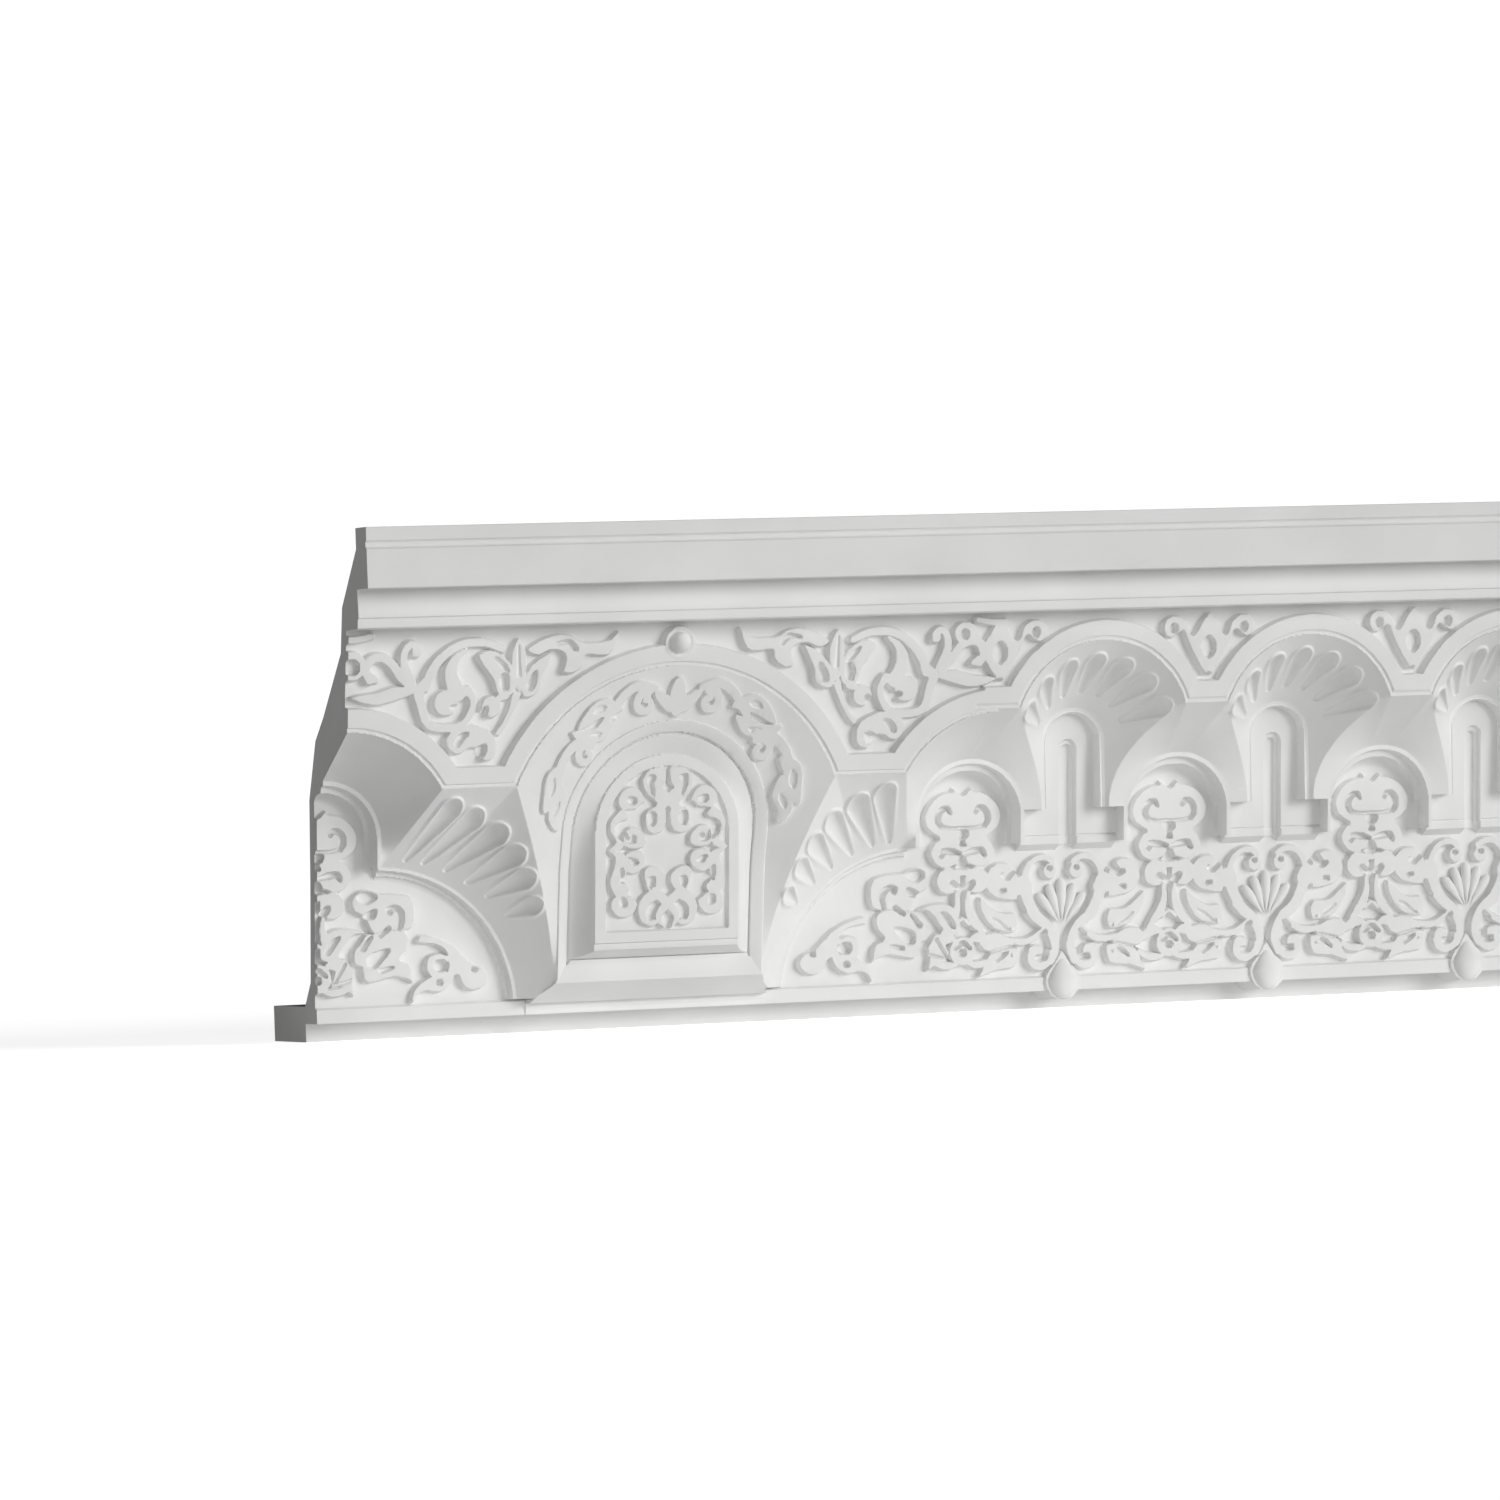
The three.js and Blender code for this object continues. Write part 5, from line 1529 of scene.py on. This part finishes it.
def bake_modifier(piece: bpy.types.Object, modifier: bpy.types.Modifier) -> None:
    """Turns a modifier's result into the piece's plain mesh and removes the modifier.

    Args:
        piece: The piece.
        modifier: Its modifier.
    """
    graph = bpy.context.evaluated_depsgraph_get()
    plain = bpy.data.meshes.new_from_object(piece.evaluated_get(graph))
    piece.modifiers.remove(modifier)
    piece.data = plain


@dataclass
class CastBody:
    """The whole casting as one closed mesh: carved front, ends, ceiling edge and back."""

    front: CastFront = field(default_factory=CastFront)
    most_faces: int = 188000
    sharp_angle: float = 30.0

    def back(self) -> list[Point]:
        """The back's outline as (depth, z), from the ceiling down to the wall.

        Returns:
            The outline's points.
        """
        ground = lower_ground(np.array([33.0, 90.5, 133.8]))
        return [
            (160.0, 280.0),
            (160.0, 268.6),
            (134.5, 237.7),
            (130.0, 213.0),
            (98.0, 178.5),
            (84.0, 166.0),
            (float(ground[2]) - 8.0, 133.8),
            (float(ground[1]) - 7.0, 90.5),
            (float(ground[0]) - 7.2, 33.2),
            (52.0, 19.8),
            (0.0, 19.8),
            (0.0, 0.0),
        ]

    def build(self) -> bpy.types.Object:
        """Makes the closed mesh: the front net with its back and ends.

        Returns:
            The casting, in metres in the frame of the solids.
        """
        columns, rows = self.front.columns(), self.front.rows()
        x, z = np.meshgrid(columns, rows)
        depth = self.front.depth(x, z)
        crown = self.front.crown()
        foot = self.front.foot_depth
        lead = [(foot, 0.0), (foot, self.front.fine_foot - 0.6)]
        low, high = (np.array(part)[:, :, None] * np.ones(len(columns)) for part in (lead, crown))
        depth = np.vstack([low[:, 0], depth, high[:, 0]])
        z = np.vstack([low[:, 1], z, high[:, 1]])
        x = np.tile(columns, (depth.shape[0], 1))
        return self.close(x, depth, z)

    def close(self, x: Field, depth: Field, z: Field) -> bpy.types.Object:
        """Closes the net with its back and ends.

        Args:
            x: Places along the wall of the net's corners.
            depth: Their depths.
            z: Their heights.

        Returns:
            The closed object.
        """
        count_z, count_x = depth.shape
        front = np.stack([x, -depth, z], axis=-1).reshape(-1, 3)
        back = [(side, -d, h) for side in (0.0, PATTERN.length) for d, h in self.back()]
        spots = np.vstack([front, np.array(back)])
        grid = np.arange(count_z * count_x).reshape(count_z, count_x)
        quads = np.stack([grid[:-1, :-1], grid[:-1, 1:], grid[1:, 1:], grid[1:, :-1]], axis=-1)
        faces = quads.reshape(-1, 4).tolist()
        first = count_z * count_x
        steps = len(self.back())
        left = list(range(first, first + steps))
        right = list(range(first + steps, first + 2 * steps))
        faces.append([*grid[:, 0].tolist(), *left])
        faces.append([*grid[:, -1].tolist(), *right][::-1])
        for i in range(steps - 1):
            faces.append([left[i], left[i + 1], right[i + 1], right[i]][::-1])
        faces.append([*grid[-1].tolist(), right[0], left[0]])
        faces.append([*grid[0].tolist()[::-1], left[-1], right[-1]])
        spots = (spots - np.array([PATTERN.length / 2, 0.0, DROP])) * MM
        mesh = bpy.data.meshes.new(NODE + "_carved")
        mesh.from_pydata(spots.tolist(), [], faces)
        casting = bpy.data.objects.new("carved_casting", mesh)
        bpy.context.scene.collection.objects.link(casting)
        return casting

    def thin(self, casting: bpy.types.Object) -> None:
        """Turns the faces outwards, thins the mesh and smooths all but its sharp edges.

        Args:
            casting: The casting.
        """
        shape = bmesh.new()
        shape.from_mesh(casting.data)
        bmesh.ops.triangulate(shape, faces=[f for f in shape.faces if len(f.verts) > 4])
        bmesh.ops.recalc_face_normals(shape, faces=shape.faces)
        shape.to_mesh(casting.data)
        shape.free()
        triangles = sum(len(p.vertices) - 2 for p in casting.data.polygons)
        thinner = casting.modifiers.new("thin", "DECIMATE")
        thinner.ratio = min(1.0, self.most_faces / triangles)
        bake_modifier(casting, thinner)
        casting.data.shade_smooth()
        casting.data.set_sharp_from_angle(angle=math.radians(self.sharp_angle))
        weigh = casting.modifiers.new("flat faces first", "WEIGHTED_NORMAL")
        weigh.weight = 90
        weigh.keep_sharp = True
        bake_modifier(casting, weigh)


class TreeMaker:
    """Writes a Geometry Nodes tree step by step, with named inputs."""

    def __init__(self, name: str) -> None:
        """Starts a tree with the inputs that a row of round things has.

        Args:
            name: The tree's name.
        """
        self.tree = bpy.data.node_groups.new(name, "GeometryNodeTree")
        self.tree.interface.new_socket("Geometry", in_out="OUTPUT", socket_type="NodeSocketGeometry")
        self.inlet = self.tree.nodes.new("NodeGroupInput")
        self.identifiers: dict[str, str] = {}
        for shared in ("Half width", "Bulge", "Spacing", "First x", "Depth", "Height"):
            self.size(shared)
        self.size("Count", "NodeSocketInt")

    def size(self, name: str, kind: str = "NodeSocketFloat") -> None:
        """Adds a named input."""
        socket = self.tree.interface.new_socket(name, in_out="INPUT", socket_type=kind)
        self.identifiers[name] = socket.identifier

    def node(self, kind: str, **settings: object) -> bpy.types.Node:
        """Adds a node with its settings.

        Args:
            kind: The node's type.
            **settings: Values for its properties.

        Returns:
            The node.
        """
        made = self.tree.nodes.new(kind)
        for name, value in settings.items():
            setattr(made, name, value)
        return made

    def link(self, source: bpy.types.NodeSocket, target: bpy.types.NodeSocket) -> None:
        """Links two sockets."""
        self.tree.links.new(source, target)

    def read(self, name: str) -> bpy.types.NodeSocket:
        """The socket that gives a named input."""
        return self.inlet.outputs[name]

    def math(self, operation: str, first: object, second: object = 0.0) -> bpy.types.NodeSocket:
        """Adds a sum of two sockets or numbers and gives its result.

        Args:
            operation: The sum's name.
            first: A socket or a number.
            second: A socket or a number.

        Returns:
            The result's socket.
        """
        step = self.node("ShaderNodeMath", operation=operation)
        for i, value in enumerate((first, second)):
            if isinstance(value, bpy.types.NodeSocket):
                self.link(value, step.inputs[i])
            else:
                step.inputs[i].default_value = float(value)
        return step.outputs[0]

    def vector(self, x: object, y: object, z: object) -> bpy.types.NodeSocket:
        """Joins three sockets or numbers into a vector.

        Args:
            x: A socket or a number.
            y: A socket or a number.
            z: A socket or a number.

        Returns:
            The vector's socket.
        """
        join = self.node("ShaderNodeCombineXYZ")
        for i, value in enumerate((x, y, z)):
            if isinstance(value, bpy.types.NodeSocket):
                self.link(value, join.inputs[i])
            else:
                join.inputs[i].default_value = float(value)
        return join.outputs[0]

    def ball(self, segments: int, rings: int) -> tuple[bpy.types.NodeSocket, list[bpy.types.NodeSocket]]:
        """Adds a unit ball, and gives it with the x, y and z of its points.

        Args:
            segments: Faces round it.
            rings: Faces from pole to pole.

        Returns:
            The ball's socket, and those of x, y and z.
        """
        ball = self.node("GeometryNodeMeshUVSphere")
        ball.inputs["Segments"].default_value = segments
        ball.inputs["Rings"].default_value = rings
        place = self.node("GeometryNodeInputPosition")
        parts = self.node("ShaderNodeSeparateXYZ")
        self.link(place.outputs[0], parts.inputs[0])
        return ball.outputs[0], list(parts.outputs)

    def tapered(
        self,
        ball: bpy.types.NodeSocket,
        parts: list[bpy.types.NodeSocket],
        taper: bpy.types.NodeSocket,
        height: bpy.types.NodeSocket,
    ) -> bpy.types.NodeSocket:
        """Shapes a ball to the half width and bulge, narrowed by a taper, at new heights.

        Args:
            ball: The ball.
            parts: The x, y and z of its points.
            taper: How wide it is left at each point.
            height: The new height of each point.

        Returns:
            The shaped ball.
        """
        across = self.math("MULTIPLY", self.math("MULTIPLY", parts[0], self.read("Half width")), taper)
        out = self.math("MULTIPLY", self.math("MULTIPLY", parts[1], self.read("Bulge")), taper)
        shaped = self.node("GeometryNodeSetPosition")
        self.link(ball, shaped.inputs["Geometry"])
        self.link(self.vector(across, out, height), shaped.inputs["Position"])
        return shaped.outputs[0]

    def row(self, thing: bpy.types.NodeSocket) -> bpy.types.NodeSocket:
        """Sets copies of a thing in a row along the wall, by the row's named inputs.

        Args:
            thing: What stands in the row.

        Returns:
            The instances' socket.
        """
        row = self.node("GeometryNodeMeshLine")
        self.link(self.read("Count"), row.inputs["Count"])
        out = self.math("MULTIPLY", self.read("Depth"), -1.0)
        start = self.vector(self.read("First x"), out, self.read("Height"))
        self.link(start, row.inputs["Start Location"])
        self.link(self.vector(self.read("Spacing"), 0.0, 0.0), row.inputs["Offset"])
        spread = self.node("GeometryNodeInstanceOnPoints")
        self.link(row.outputs[0], spread.inputs["Points"])
        self.link(thing, spread.inputs["Instance"])
        return spread.outputs[0]

    def end(self, geometry: bpy.types.NodeSocket, finish: bpy.types.Material) -> None:
        """Makes the instances real, gives them their finish and ends the tree.

        Args:
            geometry: The instances.
            finish: Their material.
        """
        real = self.node("GeometryNodeRealizeInstances")
        smooth = self.node("GeometryNodeSetShadeSmooth")
        paint = self.node("GeometryNodeSetMaterial")
        paint.inputs["Material"].default_value = finish
        outlet = self.node("NodeGroupOutput")
        self.link(geometry, real.inputs[0])
        self.link(real.outputs[0], smooth.inputs[0])
        self.link(smooth.outputs[0], paint.inputs[0])
        self.link(paint.outputs[0], outlet.inputs[0])

    def grow(self, name: str, values: dict[str, float]) -> bpy.types.Object:
        """Runs the tree and keeps its result as a plain mesh.

        Args:
            name: Name of the new piece.
            values: A value for each named input.

        Returns:
            The piece, at the origin, without modifiers.
        """
        piece = bpy.data.objects.new(name, bpy.data.meshes.new(name + "_start"))
        bpy.context.scene.collection.objects.link(piece)
        grower = piece.modifiers.new("grow", "NODES")
        grower.node_group = self.tree
        for label, value in values.items():
            grower[self.identifiers[label]] = value
        bake_modifier(piece, grower)
        return piece


def row_sizes(half_width: float, bulge: float, shift: float, depth: float, z: float) -> dict[str, float]:
    """Values for the inputs that every row under the upper niches has.

    Args:
        half_width: Half the width of one thing.
        bulge: How far it stands out.
        shift: How far the row stands beside the niches' middles.
        depth: Its depth out from the wall.
        z: Its height.

    Returns:
        A value for each shared input.
    """
    return {
        "Half width": half_width * MM,
        "Bulge": bulge * MM,
        "Spacing": PATTERN.bay * MM,
        "First x": (PATTERN.upper_niches[0] + shift - PATTERN.length / 2) * MM,
        "Depth": depth * MM,
        "Height": (z - DROP) * MM,
        "Count": len(PATTERN.upper_niches),
    }


@dataclass
class Pendants:
    """The rounded drops that hang before the band, one under each upper niche."""

    half_width: float = 8.8
    half_height: float = 11.75
    bulge: float = 6.4
    centre_z: float = 17.0
    depth: float = 71.6
    pointed: float = 0.5
    shift: float = -2.4

    def build(self, finish: bpy.types.Material) -> bpy.types.Object:
        """Makes the drops with Geometry Nodes.

        Args:
            finish: Their material.

        Returns:
            One piece with every drop.
        """
        maker = TreeMaker("hanging_drops")
        maker.size("Half height")
        maker.size("Pointed")
        ball, parts = maker.ball(40, 28)
        above = maker.math("MAXIMUM", parts[2], 0.0)
        taper = maker.math("SUBTRACT", 1.0, maker.math("MULTIPLY", above, maker.read("Pointed")))
        up = maker.math("MULTIPLY", parts[2], maker.read("Half height"))
        drop = maker.tapered(ball, parts, taper, up)
        maker.end(maker.row(drop), finish)
        sizes = row_sizes(self.half_width, self.bulge, self.shift, self.depth, self.centre_z)
        sizes["Half height"] = self.half_height * MM
        sizes["Pointed"] = self.pointed
        return maker.grow("hanging_drops", sizes)


@dataclass
class Palmettes:
    """The fans of plump petals in the lower frieze, one under each upper niche."""

    petals: int = 5
    spread: float = 36.0
    foot_z: float = 46.0
    reach: float = 28.0
    half_width: float = 4.5
    bulge: float = 3.9
    shift: float = -2.4
    flat: float = 0.42

    def build(self, finish: bpy.types.Material) -> bpy.types.Object:
        """Makes the petals with Geometry Nodes.

        Args:
            finish: Their material.

        Returns:
            One piece with every fan.
        """
        maker = TreeMaker("palmette_petals")
        for name in ("Reach", "Narrow", "Spread"):
            maker.size(name)
        maker.size("Petals", "NodeSocketInt")
        ball, parts = maker.ball(28, 24)
        low = maker.math("SUBTRACT", parts[2], 1.0)
        taper = maker.math("ADD", 1.0, maker.math("MULTIPLY", low, maker.read("Narrow")))
        half_reach = maker.math("MULTIPLY", maker.read("Reach"), 0.43)
        height = maker.math("MULTIPLY", maker.math("ADD", parts[2], 1.35), half_reach)
        petal = maker.tapered(ball, parts, taper, height)
        fan = maker.node("GeometryNodeMeshLine")
        maker.link(maker.read("Petals"), fan.inputs["Count"])
        fan.inputs["Offset"].default_value = (0.0, 0.0, 0.0)
        index = maker.node("GeometryNodeInputIndex")
        middle = maker.math("DIVIDE", maker.math("SUBTRACT", maker.read("Petals"), 1.0), 2.0)
        from_middle = maker.math("SUBTRACT", index.outputs[0], middle)
        share = maker.math("DIVIDE", from_middle, middle)
        turn = maker.math("MULTIPLY", share, maker.read("Spread"))
        petals = maker.node("GeometryNodeInstanceOnPoints")
        maker.link(fan.outputs[0], petals.inputs["Points"])
        maker.link(petal, petals.inputs["Instance"])
        maker.link(maker.vector(0.0, turn, 0.0), petals.inputs["Rotation"])
        shorter = maker.math("MULTIPLY", maker.math("ABSOLUTE", share), -0.12)
        size = maker.math("ADD", 1.0, shorter)
        maker.link(maker.vector(size, size, size), petals.inputs["Scale"])
        maker.end(maker.row(petals.outputs[0]), finish)
        depth = float(lower_ground(np.array(self.foot_z + self.reach / 2)))
        sizes = row_sizes(self.half_width, self.bulge, self.shift, depth + 2.2, self.foot_z)
        sizes["Reach"] = self.reach * MM
        sizes["Narrow"] = self.flat
        sizes["Spread"] = math.radians(self.spread)
        sizes["Petals"] = self.petals
        return maker.grow("palmette_petals", sizes)


@dataclass(frozen=True)
class CastWhite:
    """The smooth white surface of the casting, with the faint unevenness of a mould."""

    colour: tuple[float, float, float] = (0.86, 0.86, 0.855)
    duller: tuple[float, float, float] = (0.80, 0.80, 0.79)
    cloud: float = 14.0
    grain: float = 900.0
    roughness: float = 0.72

    def material(self) -> bpy.types.Material:
        """Builds the node material.

        Returns:
            The material, reading Object coordinates only.
        """
        paint = bpy.data.materials.new("cast_white_matte")
        paint.use_nodes = True
        nodes, links = paint.node_tree.nodes, paint.node_tree.links
        shader = nodes["Principled BSDF"]
        place = nodes.new("ShaderNodeTexCoord")
        cloud = nodes.new("ShaderNodeTexNoise")
        cloud.inputs["Scale"].default_value = self.cloud
        cloud.inputs["Detail"].default_value = 4.0
        grain = nodes.new("ShaderNodeTexNoise")
        grain.inputs["Scale"].default_value = self.grain
        grain.inputs["Detail"].default_value = 2.0
        ramp = nodes.new("ShaderNodeValToRGB")
        ramp.color_ramp.elements[0].position = 0.3
        ramp.color_ramp.elements[0].color = (*self.duller, 1.0)
        ramp.color_ramp.elements[1].position = 0.62
        ramp.color_ramp.elements[1].color = (*self.colour, 1.0)
        bump = nodes.new("ShaderNodeBump")
        bump.inputs["Strength"].default_value = 0.06
        bump.inputs["Distance"].default_value = 0.0003
        shine = nodes.new("ShaderNodeMapRange")
        shine.inputs["To Min"].default_value = self.roughness - 0.06
        shine.inputs["To Max"].default_value = self.roughness + 0.08
        links.new(place.outputs["Object"], cloud.inputs["Vector"])
        links.new(place.outputs["Object"], grain.inputs["Vector"])
        links.new(cloud.outputs["Fac"], ramp.inputs["Fac"])
        links.new(ramp.outputs["Color"], shader.inputs["Base Color"])
        links.new(cloud.outputs["Fac"], shine.inputs["Value"])
        links.new(shine.outputs["Result"], shader.inputs["Roughness"])
        links.new(grain.outputs["Fac"], bump.inputs["Height"])
        links.new(bump.outputs["Normal"], shader.inputs["Normal"])
        shader.inputs["Specular IOR Level"].default_value = 0.35
        return paint


@dataclass
class Studio:
    """A pale floor, broad soft light from the right and the front, and the photograph's camera."""

    yaw: float = 22.558
    pitch: float = 0.2084
    roll: float = 2.0139
    lens: float = 205.74
    spot: tuple[float, float, float] = (-1585.416, -4521.910, 135.677)
    floor_half: float = 40.0
    glow: float = 0.68
    bounce: float = 0.18
    sky: float = 0.28
    key: float = 1.75
    front: float = 0.52

    def floor(self) -> bpy.types.Object:
        """Makes the pale floor, level with the underside of the foot.

        Returns:
            The floor.
        """
        level = -DROP * MM
        half = self.floor_half
        mesh = bpy.data.meshes.new("studio_floor")
        corners = [(-half, -half, level), (half, -half, level), (half, half, level), (-half, half, level)]
        mesh.from_pydata(corners, [], [(0, 1, 2, 3)])
        ground = bpy.data.objects.new("studio_floor", mesh)
        bpy.context.scene.collection.objects.link(ground)
        paint = bpy.data.materials.new("studio_white")
        paint.use_nodes = True
        shader = paint.node_tree.nodes["Principled BSDF"]
        shader.inputs["Base Color"].default_value = (0.93, 0.93, 0.93, 1.0)
        shader.inputs["Roughness"].default_value = 0.9
        shader.inputs["Emission Color"].default_value = (1.0, 1.0, 1.0, 1.0)
        seen = paint.node_tree.nodes.new("ShaderNodeLightPath")
        glow = paint.node_tree.nodes.new("ShaderNodeMath")
        glow.operation = "MULTIPLY_ADD"
        glow.inputs[1].default_value = self.glow
        glow.inputs[2].default_value = self.bounce
        paint.node_tree.links.new(seen.outputs["Is Camera Ray"], glow.inputs[0])
        paint.node_tree.links.new(glow.outputs[0], shader.inputs["Emission Strength"])
        mesh.materials.append(paint)
        return ground

    def light(self) -> None:
        """Sets two broad suns and a dim sky that the camera sees as plain white."""
        bpy.context.scene.view_settings.view_transform = "Standard"
        world = bpy.data.worlds.new("studio_sky")
        world.use_nodes = True
        nodes, links = world.node_tree.nodes, world.node_tree.links
        sky = nodes["Background"]
        sky.inputs["Strength"].default_value = self.sky
        backdrop = nodes.new("ShaderNodeBackground")
        backdrop.inputs["Color"].default_value = (1.0, 1.0, 1.0, 1.0)
        backdrop.inputs["Strength"].default_value = 1.05
        seen = nodes.new("ShaderNodeLightPath")
        mix = nodes.new("ShaderNodeMixShader")
        links.new(seen.outputs["Is Camera Ray"], mix.inputs[0])
        links.new(sky.outputs[0], mix.inputs[1])
        links.new(backdrop.outputs[0], mix.inputs[2])
        links.new(mix.outputs[0], nodes["World Output"].inputs["Surface"])
        bpy.context.scene.world = world
        self.sun("key", (0.62, -0.75, 0.24), 28.0, self.key)
        self.sun("front", (-0.3, -0.93, 0.2), 40.0, self.front)

    def sun(self, name: str, toward: tuple[float, float, float], spread: float, power: float) -> None:
        """Adds one broad sun.

        Args:
            name: Its name.
            toward: The direction from the object to it.
            spread: How wide it looks, in degrees.
            power: Its strength.
        """
        data = bpy.data.lights.new(name, "SUN")
        data.angle = math.radians(spread)
        data.energy = power
        lamp = bpy.data.objects.new(name, data)
        lamp.rotation_euler = Vector(toward).to_track_quat("Z", "Y").to_euler()
        bpy.context.scene.collection.objects.link(lamp)

    def camera(self) -> None:
        """Places the camera of the photograph."""
        yaw, pitch, roll = (math.radians(v) for v in (self.yaw, self.pitch, self.roll))
        ahead = Vector((math.sin(yaw) * math.cos(pitch), math.cos(yaw) * math.cos(pitch), math.sin(pitch)))
        right = Vector((math.cos(yaw), -math.sin(yaw), 0.0))
        up = right.cross(ahead)
        across = right * math.cos(roll) - up * math.sin(roll)
        rise = right * math.sin(roll) + up * math.cos(roll)
        data = bpy.data.cameras.new("photo_camera")
        data.lens = self.lens
        data.sensor_width = 36.0
        data.clip_end = 200.0
        data.dof.use_dof = False
        camera = bpy.data.objects.new("photo_camera", data)
        x, y, z = self.spot
        turn = Matrix((across, rise, -ahead)).transposed().to_4x4()
        place = Matrix.Translation(((x - PATTERN.length / 2) * MM, y * MM, (z - DROP) * MM))
        camera.matrix_world = place @ turn
        bpy.context.scene.collection.objects.link(camera)
        bpy.context.scene.camera = camera


def main() -> None:
    """Builds the casting and its studio."""
    logging.basicConfig(level=logging.INFO, format="%(name)s: %(message)s")
    studio = Studio()
    studio.camera()
    studio.light()
    studio.floor()
    finish = CastWhite().material()
    body = CastBody()
    casting = body.build()
    body.thin(casting)
    casting.data.materials.append(finish)
    pieces = [casting, Pendants().build(finish), Palmettes().build(finish)]
    for piece in pieces:
        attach(piece, BODY)
        log.info("%s: %d faces", piece.name, len(piece.data.polygons))
    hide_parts(NODE)


if __name__ == "__main__":
    main()
